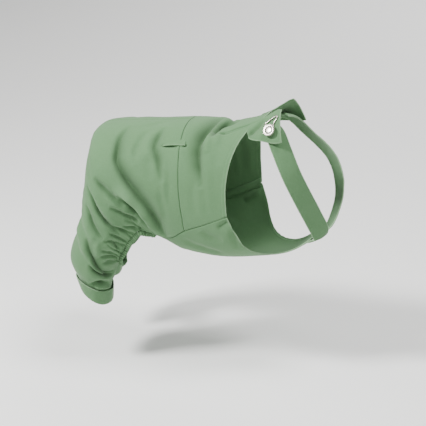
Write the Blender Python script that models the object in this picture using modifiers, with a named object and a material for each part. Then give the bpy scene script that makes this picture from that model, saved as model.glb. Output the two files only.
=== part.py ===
# Dog overalls in sage green cotton, as worn: a hollow garment on a four-legged figure that isn't there.
# Tables are in millimetres and degrees, and the meshes are in metres. +X is the wearer's front, +Z is up
# and the right side is at -Y. The origin is where the wearer's shoulders hold the back of the bodice.
import math
from collections import namedtuple

import bmesh
import bpy
from mathutils import Vector

MM = 0.001
WALL = 1.6  # cotton twill with its seam allowances
SEAM_GAP = 0.4  # between two pieces that are sewn edge to edge
LIFT = 0.35  # between a panel and what lies on it
RING_STEP, HALF_GIRTH = 60, 75  # the most that a place is long, and how far the skin is from the middle
SEAM_HOLD = 2  # folds rise from nothing over this many of a grid's rows from its seams
FLANK = 18  # folds are laid on the sides, from here out
FOLD_REACH = 2.6  # a fold ends at this many of its widths
ROUNDNESS = 2.25  # 2 is an ellipse, more is squarer
RIGHT, LEFT = 1, -1

# The body of the garment is a row of rings from the neck to the cuff. A ring lies in a plane across the
# body or the leg, from its top point to its low point, and from middle_y out to outer_y.
# Angle 0 is the top point, 90 the outermost and 180 the low point.
Ring = namedtuple("Ring", "name top_x top_z low_x low_z middle_y outer_y")
RINGS = [
    Ring("neck", 36, 34, 86, -134, 0, 58),
    Ring("shoulder", 8, 11, 44, -163, 0, 68),
    Ring("armhole", -22, -1, -8, -175, 0, 74),
    Ring("chest", -56, -3, -42, -179, 0, 74),
    Ring("waist", -92, -5, -73, -178, 0, 73),
    Ring("loin", -125, -9, -91, -175, 0, 74),
    Ring("hip", -165, -13, -116, -162, 0, 76),
    Ring("tail_base", -212, -21, -132, -155, 0, 80),
    Ring("tail_upper", -218, -45, -149, -162, 15, 82),
    Ring("tail_middle", -220, -75, -159, -172, 25, 84),
    Ring("tail_low", -221, -103, -170, -185, 31, 85),
    Ring("thigh", -221, -122, -179, -194, 40, 85),
    Ring("crotch", -224, -141, -182, -204, 48, 85),
    Ring("knee", -235, -167, -184, -212, 49, 84),
    Ring("shin", -238, -187, -187, -219, 48, 81),
    Ring("cuff_top", -231, -208, -190, -229, 47, 73),
    Ring("cuff_bottom", -225, -226, -191, -249, 46, 71),
]
PLACE = {ring.name: index for index, ring in enumerate(RINGS)}

# Edges of the panels, as the place along the rings and the angle round them
Edge = namedtuple("Edge", "place angle")
BELLY_SEAM = [Edge(2.2, 98), Edge(3, 105), Edge(4, 115), Edge(5, 127), Edge(6, 146)]
ARMHOLE_LOW = [Edge(0.05, 157), Edge(0.5, 162), Edge(0.95, 162), Edge(1.35, 156), Edge(1.65, 145),
               Edge(1.86, 130), Edge(2, 114), Edge(2.2, 98)]
TROUSER_TOP = [Edge(4, 0), Edge(6, 0), Edge(7, 0), Edge(8.2, 0), Edge(9, 4), Edge(10, 5), Edge(11, -18),
               Edge(12, -90), Edge(16, -90)]
TROUSER_LOW = [Edge(6, 146), Edge(7, 138), Edge(8, 142), Edge(9, 146), Edge(10, 152), Edge(11, 188),
               Edge(12, 270), Edge(16, 270)]  # past the hip; before it, the belly seam
# The bodice's front edge: the neckline to 18 degrees, then the peak and the armhole
BODICE_FRONT = [Edge(0.88, 0), Edge(0.98, 10), Edge(1.25, 18), Edge(1.58, 26), Edge(1.67, 31),
                Edge(1.8, 38), Edge(2.05, 60), Edge(2.18, 80), Edge(2.2, 92), Edge(2.2, 100)]
TAB_UPPER = [Edge(0.18, 24), Edge(0.4, 19), Edge(0.9, 15), Edge(1.38, 16.5), Edge(1.94, 19), Edge(2.5, 25.5)]
TAB_LOWER = [Edge(0.18, 61), Edge(0.41, 58), Edge(0.91, 47), Edge(1.45, 37), Edge(1.6, 27), Edge(1.9, 25),
             Edge(2.5, 26.5)]

# The far leg stands further back, by LEG_BACK from the second of these places on, and is bent a little
# more: its rings turn about the knee by this much at the cuff
LEG_BACK = {RIGHT: 0, LEFT: 19}
LEG_BACK_FROM, LEG_BACK_FULL = 7.3, 10.3
SWING_KNEE_X, SWING_KNEE_Z = -177, -200
SWING_ANGLE = {RIGHT: 0, LEFT: -12}

# A fold is a soft ridge, or a trough where its height is negative, along a line given in side view.
# A side's folds are taller or flatter by FOLD_SIDE and shifted back by FOLD_SHIFT.
Fold = namedtuple("Fold", "name height width line")
FOLDS = [
    Fold("flank_ridge", 7, 9, [(-170, -92), (-158, -97), (-147, -108), (-136, -122), (-127, -137)]),
    Fold("flank_undercut", -5, 8, [(-164, -108), (-152, -122), (-143, -134), (-137, -143)]),
    Fold("flank_valley", -5, 9, [(-172, -42), (-170, -62), (-162, -80), (-150, -95), (-136, -108),
                                 (-124, -124), (-115, -141)]),
    Fold("pocket_valley", -3, 6, [(-110, -14), (-120, -24), (-123, -36), (-121, -52)]),
    Fold("seam_valley", -2.6, 6, [(-62, -6), (-66, -22), (-70, -38), (-71, -56)]),
    Fold("thigh_crease", 3.2, 7, [(-224, -92), (-206, -112), (-188, -134), (-176, -152)]),
    Fold("knee_crease", -3.4, 7, [(-232, -144), (-228, -168), (-216, -190), (-200, -206)]),
    Fold("sag_high", 3, 6, [(-208, -196), (-198, -206), (-188, -208)]),
    Fold("sag_low", 3, 5.5, [(-214, -204), (-202, -214), (-188, -217)]),
    Fold("skirt_soft", -1.8, 9, [(-104, -50), (-100, -90), (-98, -124)]),
    Fold("belly_soft", -1.6, 8, [(-60, -140), (-40, -146), (-16, -142)]),
]
FOLD_SIDE = {RIGHT: 1.0, LEFT: 0.85}
FOLD_SHIFT = {RIGHT: 0, LEFT: -5}
# The crease across the back, where the bodice is pulled up: a place along the rings
BACK_CREASE = {"place": 2.45, "depth": 3.2, "width": 0.2, "reach": 34}

TAB = {"thickness": 1.8, "rear": 2.45, "front": 0.18}
STRAP = {"width": 25, "thickness": 1.8, "steps": 20}
StrapPoint = namedtuple("StrapPoint", "x y z")
STRAP_ROUTES = {
    RIGHT: [StrapPoint(41, 51, -20), StrapPoint(54, 54, -48), StrapPoint(68, 47, -80),
            StrapPoint(77, 33, -107)],
    LEFT: [StrapPoint(46, 53, -22), StrapPoint(74, 60, -52), StrapPoint(88, 54, -80),
           StrapPoint(92, 40, -106)],
}
# Where the straps begin under the tab and end on the strip: place, angle and how far out of the skin
STRAP_TOP = [(0.45, 34, -4), (0.4, 46, -4.5)]
STRAP_END = [(0.0, 161, 4.4), (0.3, 166, 3.8)]
STRAP_CROWN = [(0, 3.7), (0.2, 2.7), (0.4, 0.8), (0.8, 0.8), (1, 1.8)]  # edges lower than the middle
STRAP_AXIS = Vector((20, 0, -70))  # the straps face away from here

ELASTIC = {"half_width": 3, "half_thickness": 1.5, "ripple": 0.22, "pitch": 3.7, "sides": 6}
ELASTIC_FROM, ELASTIC_TO = 6.08, 8.9  # places along the low edge and back up the top edge
WELT = {"rear": 4.73, "front": 3.78, "upper": 36.5, "lower": 43, "thickness": 1.5}
BUTTON = {"radius": 7.5, "shank": 2.2, "height": 6.4, "place": 0.55, "angle": 43.5}
# Half of the bent wire, from the middle of its wide bar to its neck under the button: forward and up
BUCKLE_WIRE = 0.9
BUCKLE_HALF = [(0, 16), (6, 16), (9, 15), (9.5, 11.5), (6, 8), (4.4, 4), (4.2, 0), (3, -3.4), (0, -4.8)]

COLOURS = {
    "sage_cotton": ((0.27, 0.39, 0.26), 0.85, 0.0),
    "brushed_nickel": ((0.62, 0.60, 0.55), 0.35, 1.0),
}


def along(rows, at, column):
    """Reads one column of a table at a place between its rows, on a smooth curve through them."""
    last = len(rows) - 1
    keys = [row[0] for row in rows]
    at = min(max(at, keys[0]), keys[-1])
    i = min(next(k for k in range(last) if at <= keys[k + 1] or k == last - 1), last - 1)
    before, after = max(i - 1, 0), min(i + 2, last)
    value = [row[column] for row in rows]
    span = keys[i + 1] - keys[i]
    slope_a = (value[i + 1] - value[before]) / (keys[i + 1] - keys[before]) * span
    slope_b = (value[after] - value[i]) / (keys[after] - keys[i]) * span
    t = (at - keys[i]) / span
    return (
        value[i] * (2 * t**3 - 3 * t**2 + 1)
        + slope_a * (t**3 - 2 * t**2 + t)
        + value[i + 1] * (3 * t**2 - 2 * t**3)
        + slope_b * (t**3 - t**2)
    )


RING_ROWS = [(index,) + tuple(ring[1:]) for index, ring in enumerate(RINGS)]


def edge_angle(edge, place):
    return along(edge, place, 1)


def edge_place(edge, angle):
    return along([(row.angle, row.place) for row in edge], angle, 1)


def squared(value):
    return math.copysign(abs(value) ** (2 / ROUNDNESS), value)


def skin(place, angle, side=RIGHT, grow=0.0):
    """A point of the worn form, in millimetres. grow moves it out of its ring."""
    top_x, top_z, low_x, low_z, middle, outer = (along(RING_ROWS, place, column) for column in range(1, 7))
    middle = max(middle, 0)
    up = Vector((top_x - low_x, 0, top_z - low_z)) / 2
    up *= 1 + grow / up.length
    out = outer - middle + grow
    turn = math.radians(angle)
    point = Vector(((top_x + low_x) / 2, 0, (top_z + low_z) / 2)) + up * squared(math.cos(turn))
    point.y = -middle - out * squared(math.sin(turn))
    share = min(max((place - PLACE["crotch"]) / (PLACE["cuff_top"] - PLACE["crotch"]), 0), 1.1)
    swing = math.radians(SWING_ANGLE[side]) * share
    dx, dz = point.x - SWING_KNEE_X, point.z - SWING_KNEE_Z
    point.x = SWING_KNEE_X + dx * math.cos(swing) - dz * math.sin(swing)
    point.z = SWING_KNEE_Z + dx * math.sin(swing) + dz * math.cos(swing)
    back = min(max((place - LEG_BACK_FROM) / (LEG_BACK_FULL - LEG_BACK_FROM), 0), 1)
    point.x -= LEG_BACK[side] * back * back * (3 - 2 * back)
    return Vector((point.x, point.y * side, point.z))


def grid_normals(grid):
    """Outward normals of a grid of points: rows run along the rings, columns round them."""
    rows, columns = len(grid), len(grid[0])
    normals = []
    for i in range(rows):
        line = []
        for j in range(columns):
            back, front = grid[max(i - 1, 0)][j], grid[min(i + 1, rows - 1)][j]
            low, high = grid[i][max(j - 1, 0)], grid[i][min(j + 1, columns - 1)]
            line.append((front - back).cross(high - low).normalized())
        normals.append(line)
    return normals


def smooth_line(points, steps):
    keyed = [(k, p[0], p[1]) for k, p in enumerate(points)]
    spots = [k * (len(points) - 1) / steps for k in range(steps + 1)]
    return [(along(keyed, s, 1), along(keyed, s, 2)) for s in spots]


def fold_grid(grid, side):
    """Moves a grid's points out along its normals where the folds run on that side."""
    normals = grid_normals(grid)
    flat = [
        (point, normal)
        for line, normal_line in zip(grid, normals)
        for point, normal in zip(line, normal_line)
        if point.y * side < -FLANK
    ]
    if not flat:
        return grid
    moved = [[point.copy() for point in line] for line in grid]
    for fold in FOLDS:
        line = [(x + FOLD_SHIFT[side], z) for x, z in smooth_line(fold.line, 12)]
        path = []
        for x, z in line:
            near = sorted(flat, key=lambda item: (item[0].x - x) ** 2 + (item[0].z - z) ** 2)[:3]
            gap = math.hypot(near[0][0].x - x, near[0][0].z - z)
            if gap < FOLD_REACH * fold.width:
                path.append(Vector((x, sum(item[0].y for item in near) / 3, z)))
            else:
                path.append(None)
        for i, points in enumerate(grid):
            for j, point in enumerate(points):
                best, share = None, 0
                for k, spot in enumerate(path):
                    if spot is None:
                        continue
                    distance = (point - spot).length
                    if best is None or distance < best:
                        best, share = distance, k / (len(path) - 1)
                if best is None or best > FOLD_REACH * fold.width:
                    continue
                sewn = min(i, len(grid) - 2 - i, j, len(points) - 1 - j) / SEAM_HOLD
                fade = max(0, min(1, 4 * share + 0.15, 4 * (1 - share) + 0.15, sewn))
                lift = fold.height * FOLD_SIDE[side] * fade * math.exp(-((best / fold.width) ** 2))
                moved[i][j] += normals[i][j] * lift
    return moved


def mesh_object(name, verts, faces, material, closed):
    mesh = bpy.data.meshes.new(name)
    mesh.from_pydata([v * MM for v in verts], [], faces)
    work = bmesh.new()
    work.from_mesh(mesh)
    bmesh.ops.remove_doubles(work, verts=work.verts, dist=0.00001)
    if closed:
        bmesh.ops.recalc_face_normals(work, faces=work.faces)
    work.to_mesh(mesh)
    work.free()
    mesh.shade_smooth()
    mesh.materials.append(material)
    piece = bpy.data.objects.new(name, mesh)
    bpy.context.scene.collection.children["dog_overalls"].objects.link(piece)
    return piece


def sheet_object(name, grid, material, thickness=WALL):
    """A loft through the grid's rows, as a wall that lies inside its points."""
    columns = len(grid[0])
    verts = [point for line in grid for point in line]
    faces = []
    for i in range(len(grid) - 1):
        for j in range(columns - 1):
            a = i * columns + j
            faces.append((a, a + columns, a + columns + 1, a + 1))
    piece = mesh_object(name, verts, faces, material, False)
    wall = piece.modifiers.new("wall", "SOLIDIFY")
    wall.thickness = thickness * MM
    wall.offset = -1
    wall.use_rim = True
    return piece


def tube_object(name, loops, material, closed_ends):
    """A loft through closed loops of points; its ends are closed, or joined to each other."""
    sides = len(loops[0])
    verts = [point for loop in loops for point in loop]
    faces = []
    spans = len(loops) - 1 if closed_ends else len(loops)
    for i in range(spans):
        for j in range(sides):
            a, b = i * sides + j, i * sides + (j + 1) % sides
            c, d = (b + sides) % len(verts), (a + sides) % len(verts)
            faces.append((a, b, c, d))
    if closed_ends:
        faces.append(tuple(reversed(range(sides))))
        faces.append(tuple(range(len(verts) - sides, len(verts))))
    return mesh_object(name, verts, faces, material, True)


def mirrored(grid, side):
    """Keeps a grid's faces outward on the left, where the skin is mirrored."""
    return grid if side == RIGHT else [list(reversed(line)) for line in grid]


def trouser_grid(side):
    """Hip and leg in one piece: it wraps the hip from the back seam and closes round the leg."""
    places = [PLACE["waist"] + SEAM_GAP / RING_STEP] + [PLACE["waist"] + k / 3 for k in range(1, 34)]
    places.append(PLACE["cuff_top"] + 0.5)
    columns = 27
    grid = []
    for place in places:
        inset = math.degrees(SEAM_GAP / 2 / HALF_GIRTH) if place < PLACE["tail_low"] else 0
        first = max(edge_angle(TROUSER_TOP, place), 0 if place < PLACE["tail_low"] else -90) + inset
        last = min(edge_angle(TROUSER_LOW, place), 270)
        if place <= PLACE["hip"]:
            last = edge_angle(BELLY_SEAM, place) - 1.5 * inset
        if place >= PLACE["crotch"]:
            first, last = -90, 270
        angles = [first + (last - first) * j / columns for j in range(columns + 1)]
        grid.append([skin(place, angle, side) for angle in angles])
    return places, fold_grid(mirrored(grid, side), side)


def build_trouser(name, side, material):
    places, grid = trouser_grid(side)
    sheet_object(name, grid, material)
    return places, grid


def build_elastic(name, places, grid, side, material):
    """The gathered casing along the groin edge, round the inside of the thigh and up to the tail."""
    grid = mirrored(grid, side)
    normals = grid_normals(mirrored(grid, side))
    normals = normals if side == RIGHT else [list(reversed(line)) for line in normals]
    crotch = min(range(len(places)), key=lambda k: abs(places[k] - PLACE["crotch"]))
    low = [k for k in range(crotch + 1) if places[k] > ELASTIC_FROM]
    high = [k for k in range(crotch - 1, -1, -1) if places[k] > ELASTIC_TO]
    rim = [(grid[k][-1], normals[k][-1]) for k in low] + [(grid[k][0], normals[k][0]) for k in high]
    points, outs = [], []
    for k, (point, normal) in enumerate(rim):
        tangent = (rim[min(k + 1, len(rim) - 1)][0] - rim[max(k - 1, 0)][0]).normalized()
        away = tangent.cross(normal).normalized() * -side
        points.append(point + away * (ELASTIC["half_width"] + SEAM_GAP))
        outs.append(normal)
    lengths = [0.0]
    for a, b in zip(points, points[1:]):
        lengths.append(lengths[-1] + (b - a).length)
    rows = [(s,) + tuple(p) + tuple(n) for s, p, n in zip(lengths, points, outs)]
    waves = round(lengths[-1] / ELASTIC["pitch"])
    steps = waves * 2
    loops = []
    for k in range(steps + 1):
        at = lengths[-1] * k / steps
        centre = Vector([along(rows, at, c) for c in (1, 2, 3)])
        ahead = Vector([along(rows, at + 1, c) for c in (1, 2, 3)])
        behind = Vector([along(rows, at - 1, c) for c in (1, 2, 3)])
        tangent = (ahead - behind).normalized()
        normal = Vector([along(rows, at, c) for c in (4, 5, 6)])
        normal = (normal - tangent * normal.dot(tangent)).normalized()
        across = tangent.cross(normal)
        swell = 1 + ELASTIC["ripple"] * (1 if k % 2 else -1)
        loop = []
        for j in range(ELASTIC["sides"]):
            turn = 2 * math.pi * (j + 0.5) / ELASTIC["sides"]
            wide = ELASTIC["half_width"] * (0.92 + 0.08 * (1 if k % 2 else -1)) * math.cos(turn)
            thick = ELASTIC["half_thickness"] * swell * math.sin(turn)
            loop.append(centre + across * wide + normal * (thick - ELASTIC["half_thickness"] * 0.5))
        loops.append(loop)
    tube_object(name, loops, material, True)


def build_cuff(name, side, material):
    """A turned-up band round the end of the leg."""
    top, bottom = PLACE["cuff_top"], PLACE["cuff_bottom"]
    profile = [(top, 0.6), (top, 2.4), (top + 0.5, 3.0), (bottom - 0.08, 2.8), (bottom, 1.6),
               (bottom - 0.06, 0.1), (top + 0.62, -1.0), (top + 0.58, 0.6)]
    columns = 28
    loops = []
    for j in range(columns):
        angle = 360 * j / columns
        loops.append([skin(place, angle, side, grow) for place, grow in profile])
    tube_object(name, loops, material, False)


def bodice_point(share, column):
    """column runs from -1 at the left belly seam to 1 at the right one, share from waist to front."""
    front_angle = abs(column) * 100
    front = edge_place(BODICE_FRONT, front_angle)
    place = PLACE["waist"] - SEAM_GAP / RING_STEP + (front - PLACE["waist"]) * share
    seam = edge_angle(BELLY_SEAM, place) - math.degrees(SEAM_GAP / 2 / HALF_GIRTH)
    return place, column * seam


def crease_back(point, place):
    shape = math.exp(-(((place - BACK_CREASE["place"]) / BACK_CREASE["width"]) ** 2))
    reach = math.exp(-((point.y / BACK_CREASE["reach"]) ** 2))
    return point - Vector((0, 0, BACK_CREASE["depth"] * shape * reach))


def bodice_grid():
    rows, columns = 12, 36
    grid = []
    for i in range(rows + 1):
        line = []
        for j in range(columns + 1):
            place, angle = bodice_point(i / rows, -1 + 2 * j / columns)
            line.append(crease_back(skin(place, angle), place))
        grid.append(list(reversed(line)))
    right = fold_grid(grid, RIGHT)
    return fold_grid(right, LEFT)


def build_bodice(material):
    sheet_object("bodice", bodice_grid(), material)


def belly_grid():
    corner = BELLY_SEAM[0].place
    places = [PLACE["hip"] - 0.02] + [PLACE["waist"] + k / 3 for k in range(5, -1, -1)]
    places += [3.6, 3.2, 2.8, 2.5, corner, 2, 1.75, 1.45, 1.1, 0.8, 0.5, 0.3, 0.12]
    columns = 14
    grid = []
    for place in places:
        edge = BELLY_SEAM if place >= corner else ARMHOLE_LOW
        first = edge_angle(edge, place) + math.degrees(SEAM_GAP / 2 / HALF_GIRTH)
        angles = [first + (360 - 2 * first) * j / columns for j in range(columns + 1)]
        line = []
        for angle in angles:
            middle = 1 - abs(angle - 180) / (180 - first)
            notch = 0.45 * middle if place > 5.4 else 0
            line.append(skin(place - notch * (place - 5.4) / 0.6, angle))
        grid.append(list(reversed(line)))
    return grid


def build_belly(material):
    sheet_object("belly_panel", belly_grid(), material)


def build_tab(name, side, material):
    """The shoulder tab, from its point on the bodice to its end on the neck."""
    rows, columns = 16, 5
    grow = LIFT + TAB["thickness"]
    grid = []
    for i in range(rows + 1):
        place = TAB["rear"] + (TAB["front"] - TAB["rear"]) * i / rows
        upper, lower = edge_angle(TAB_UPPER, place), edge_angle(TAB_LOWER, place)
        angles = [upper + (lower - upper) * j / columns for j in range(columns + 1)]
        grid.append([skin(place, angle, side, grow) for angle in angles])
    grid = grid if side == LEFT else [list(reversed(line)) for line in grid]
    sheet_object(name, grid, material, TAB["thickness"])


def strap_route(side):
    flip = Vector((1, -1, 1))
    top = [tuple(skin(*spot[:2], RIGHT, spot[2]) * flip) for spot in STRAP_TOP]
    end = [tuple(skin(*spot[:2], RIGHT, spot[2]) * flip) for spot in STRAP_END]
    middle = [tuple(point) for point in STRAP_ROUTES[side]]
    return [(k,) + point for k, point in enumerate(top + middle + end)]


def strap_frame(side, share):
    route = strap_route(side)
    at = share * (len(route) - 1)
    centre = Vector([along(route, at, c) for c in (1, 2, 3)])
    ahead = Vector([along(route, at + 0.05, c) for c in (1, 2, 3)])
    behind = Vector([along(route, at - 0.05, c) for c in (1, 2, 3)])
    tangent = (ahead - behind).normalized()
    away = centre - STRAP_AXIS
    normal = (away - tangent * away.dot(tangent)).normalized()
    across = tangent.cross(normal)
    flip = Vector((1, -side, 1))
    return centre * flip, across * flip, normal * flip


def build_strap(name, side, material):
    loops = []
    half, thick = STRAP["width"] / 2, STRAP["thickness"]
    for k in range(STRAP["steps"] + 1):
        centre, across, normal = strap_frame(side, k / STRAP["steps"])
        height = along(STRAP_CROWN, k / STRAP["steps"], 1)
        outer = [centre + across * half * a - normal * height * a * a for a in (-1, -0.5, 0, 0.5, 1)]
        inner = [point - normal * thick for point in reversed(outer)]
        loops.append(outer + inner)
    tube_object(name, loops, material, True)


def build_welt(name, side, material):
    """The pocket's welt, a narrow band across the top of the side seam."""
    rows, columns = 8, 3
    grow = LIFT + WELT["thickness"]
    grid = []
    for i in range(rows + 1):
        place = WELT["front"] + (WELT["rear"] - WELT["front"]) * i / rows
        span = WELT["lower"] - WELT["upper"]
        grid.append([skin(place, WELT["upper"] + span * j / columns, side, grow) for j in range(columns + 1)])
    grid = mirrored(grid, side)
    sheet_object(name, grid, material, WELT["thickness"])


def tab_frame(side):
    """Centre, forward, up and outward directions of the tab where the button is."""
    place, angle = BUTTON["place"], BUTTON["angle"]
    grow = LIFT + TAB["thickness"]
    centre = skin(place, angle, side, grow)
    front = (skin(place - 0.1, angle, side, grow) - skin(place + 0.1, angle, side, grow)).normalized()
    up = (skin(place, angle - 4, side, grow) - skin(place, angle + 4, side, grow)).normalized()
    out = front.cross(up).normalized() * side
    up = out.cross(front).normalized() * side
    return centre, front, up, out


def build_button(name, side, material):
    centre, front, up, out = tab_frame(side)
    radius, shank, height = BUTTON["radius"], BUTTON["shank"], BUTTON["height"]
    profile = [(shank, LIFT), (shank, height * 0.56), (radius * 0.96, height * 0.6), (radius, height * 0.68),
               (radius, height * 0.8), (radius * 0.82, height * 0.92), (radius * 0.35, height)]
    sides = 16
    loops = []
    for distance, rise in profile:
        loop = []
        for j in range(sides):
            turn = 2 * math.pi * j / sides
            spoke = front * math.cos(turn) + up * math.sin(turn)
            loop.append(centre + spoke * distance + out * rise)
        loops.append(loop)
    tube_object(name, loops, material, True)


def build_buckle(name, side, material):
    """A loop of bent wire: a wide bar for the strap and a narrow neck that hooks round the button."""
    place, angle = BUTTON["place"], BUTTON["angle"]
    per_place = (skin(place + 0.1, angle) - skin(place, angle)).length / 0.1
    per_degree = (skin(place, angle + 2) - skin(place, angle)).length / 2
    grow = 2 * LIFT + TAB["thickness"] + BUCKLE_WIRE
    outline = BUCKLE_HALF + [(-forward, up) for forward, up in reversed(BUCKLE_HALF[1:-1])]
    curve = bpy.data.curves.new(name, "CURVE")
    curve.dimensions = "3D"
    curve.bevel_depth = BUCKLE_WIRE * MM
    curve.bevel_resolution = 1
    line = curve.splines.new("POLY")
    line.points.add(len(outline) - 1)
    for knot, (forward, up) in zip(line.points, outline):
        spot = skin(place - forward / per_place, angle - up / per_degree, side, grow) * MM
        knot.co = (*spot, 1)
    line.use_cyclic_u = True
    curve.materials.append(material)
    piece = bpy.data.objects.new(name, curve)
    bpy.context.scene.collection.children["dog_overalls"].objects.link(piece)


def make_material(name):
    colour, roughness, metallic = COLOURS[name]
    material = bpy.data.materials.new(name)
    material.use_nodes = True
    shader = material.node_tree.nodes["Principled BSDF"]
    shader.inputs["Base Color"].default_value = (*colour, 1)
    shader.inputs["Roughness"].default_value = roughness
    shader.inputs["Metallic"].default_value = metallic
    material.diffuse_color = (*colour, 1)
    return material


def clear_scene():
    for piece in list(bpy.data.objects):
        bpy.data.objects.remove(piece, do_unlink=True)
    collection = bpy.data.collections.new("dog_overalls")
    bpy.context.scene.collection.children.link(collection)


def build():
    clear_scene()
    cotton, nickel = make_material("sage_cotton"), make_material("brushed_nickel")
    build_bodice(cotton)
    build_belly(cotton)
    for side, word in ((RIGHT, "right"), (LEFT, "left")):
        places, grid = build_trouser(f"trouser_{word}", side, cotton)
        build_elastic(f"leg_elastic_{word}", places, grid, side, cotton)
        build_cuff(f"cuff_{word}", side, cotton)
        build_tab(f"shoulder_tab_{word}", side, cotton)
        build_strap(f"strap_{word}", side, cotton)
        build_welt(f"pocket_welt_{word}", side, cotton)
        build_button(f"button_{word}", side, nickel)
        build_buckle(f"buckle_{word}", side, nickel)


if __name__ == "__main__":
    build()
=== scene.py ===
# Dog overalls in sage green cotton, as worn. Tables are in millimetres and degrees, meshes in metres.
import math

import bpy
import numpy as np
from mathutils import Matrix, Vector, noise


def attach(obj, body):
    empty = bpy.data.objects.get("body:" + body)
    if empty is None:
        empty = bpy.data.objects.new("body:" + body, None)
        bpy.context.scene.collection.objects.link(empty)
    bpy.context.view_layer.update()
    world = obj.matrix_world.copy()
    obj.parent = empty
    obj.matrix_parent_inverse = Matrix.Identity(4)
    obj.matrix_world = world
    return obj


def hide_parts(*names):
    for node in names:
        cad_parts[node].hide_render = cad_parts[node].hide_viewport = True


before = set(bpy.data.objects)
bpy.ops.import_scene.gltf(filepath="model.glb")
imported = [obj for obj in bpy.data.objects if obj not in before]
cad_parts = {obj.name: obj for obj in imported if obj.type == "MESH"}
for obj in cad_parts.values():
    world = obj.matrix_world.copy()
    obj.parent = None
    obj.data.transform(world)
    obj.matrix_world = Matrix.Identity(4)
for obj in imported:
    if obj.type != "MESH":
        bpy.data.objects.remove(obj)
bpy.ops.object.select_all(action="DESELECT")
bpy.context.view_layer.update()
mm = 0.001
right, left = 1, -1
bothSides = (right, left)
sideNames = {right: "right", left: "left"}

# The worn form is a row of rings from the neck to the cuff: top point x z, low point x z, middle y, outer y
wornForm = {
    "neck": (36, 34, 86, -134, 0, 58), "shoulder": (8, 11, 44, -163, 0, 68),
    "armhole": (-22, -1, -8, -175, 0, 74), "chest": (-56, -3, -42, -179, 0, 74),
    "waist": (-92, -5, -73, -178, 0, 73), "loin": (-125, -9, -91, -175, 0, 74),
    "hip": (-165, -13, -116, -162, 0, 76), "tailBase": (-212, -21, -132, -155, 0, 80),
    "tailUpper": (-218, -45, -149, -162, 15, 82), "tailMiddle": (-220, -75, -159, -172, 25, 84),
    "tailLow": (-221, -103, -170, -185, 31, 85), "thigh": (-221, -122, -179, -194, 40, 85),
    "crotch": (-224, -141, -182, -204, 48, 85), "knee": (-235, -167, -184, -212, 49, 84),
    "shin": (-238, -187, -187, -219, 48, 81), "cuffTop": (-231, -208, -190, -229, 47, 73),
    "cuffBottom": (-225, -226, -191, -249, 46, 71),
}
ringAt = {name: index for index, name in enumerate(wornForm)}
ringRows = np.array([(index, *row) for index, row in enumerate(wornForm.values())], float)
# The far leg stands further back from the place backFrom on, and its shin turns about the knee
form = {"roundness": 2.25, "knee": (-177, -200), "swing": {right: 0, left: -8},
        "legBack": {right: 0, left: 19}, "backFrom": 7.3, "backFull": 10.3}

# Edges of the panels, as (place along the rings, angle round them)
edges = {
    "bellySeam": [(2.2, 98), (3, 105), (4, 115), (5, 127), (6, 146)],
    "armholeLow": [(0.05, 157), (0.5, 162), (0.95, 162), (1.35, 156), (1.65, 145), (1.86, 130),
                   (2, 114), (2.2, 98)],
    "trouserTop": [(4, 0), (6, 0), (7, 0), (8.2, 0), (9, 4), (10, 5), (11, -18), (12, -90), (16, -90)],
    "trouserLow": [(6, 146), (7, 138), (8, 142), (9, 146), (10, 152), (11, 188), (12, 270), (16, 270)],
    "bodiceFront": [(0.88, 0), (0.98, 10), (1.25, 18), (1.58, 26), (1.67, 31), (1.8, 38), (2.05, 60),
                    (2.18, 80), (2.2, 92), (2.2, 100)],
    "tabUpper": [(0.18, 24), (0.4, 19), (0.9, 15), (1.38, 16.5), (1.94, 19), (2.5, 25.5)],
    "tabLower": [(0.18, 61), (0.41, 58), (0.91, 47), (1.45, 37), (1.6, 27), (1.9, 25), (2.5, 26.5)],
}
# bodyRadius and ringStep turn a gap in millimetres into an angle and a place
cloth = {"wall": 1.3, "seamGap": 0.25, "seamDepth": 0.75, "seamRoll": 0.7, "step": 1.3, "fineStep": 0.65,
         "fineReach": 7, "seamWobble": 1.0, "wearReach": 1.3, "bodyRadius": 75, "ringStep": 60,
         "noiseSize": 19, "insideStep": 8}
gapTurn = math.degrees(cloth["seamGap"] / 2 / cloth["bodyRadius"])
gapPlace = cloth["seamGap"] / cloth["ringStep"]


def rise(distance, reach):
    return np.clip(distance / reach, 0, 1)


def bell(distance, width):
    return np.exp(-((distance / width) ** 2))


def nearest(values, wanted):
    return int(np.argmin(np.abs(values - wanted)))


def readTable(rows, at):
    # A smooth curve through the rows, whose first column is the key
    rows = np.array(rows, float)
    keys, values = rows[:, 0], rows[:, 1:]
    at = np.clip(np.asarray(at, float), keys[0], keys[-1])
    i = np.clip(np.searchsorted(keys, at) - 1, 0, len(keys) - 2)
    before, after = np.maximum(i - 1, 0), np.minimum(i + 2, len(keys) - 1)
    span = (keys[i + 1] - keys[i])[..., None]
    slopeA = (values[i + 1] - values[before]) / (keys[i + 1] - keys[before])[..., None] * span
    slopeB = (values[after] - values[i]) / (keys[after] - keys[i])[..., None] * span
    t = (at - keys[i])[..., None] / span
    curve = values[i] * (2 * t**3 - 3 * t**2 + 1) + slopeA * (t**3 - 2 * t**2 + t)
    return curve + values[i + 1] * (3 * t**2 - 2 * t**3) + slopeB * (t**3 - t**2)


def edgeAngle(name, place):
    return readTable(edges[name], place)[..., 0]


def squared(value):
    return np.sign(value) * np.abs(value) ** (2 / form["roundness"])


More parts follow.
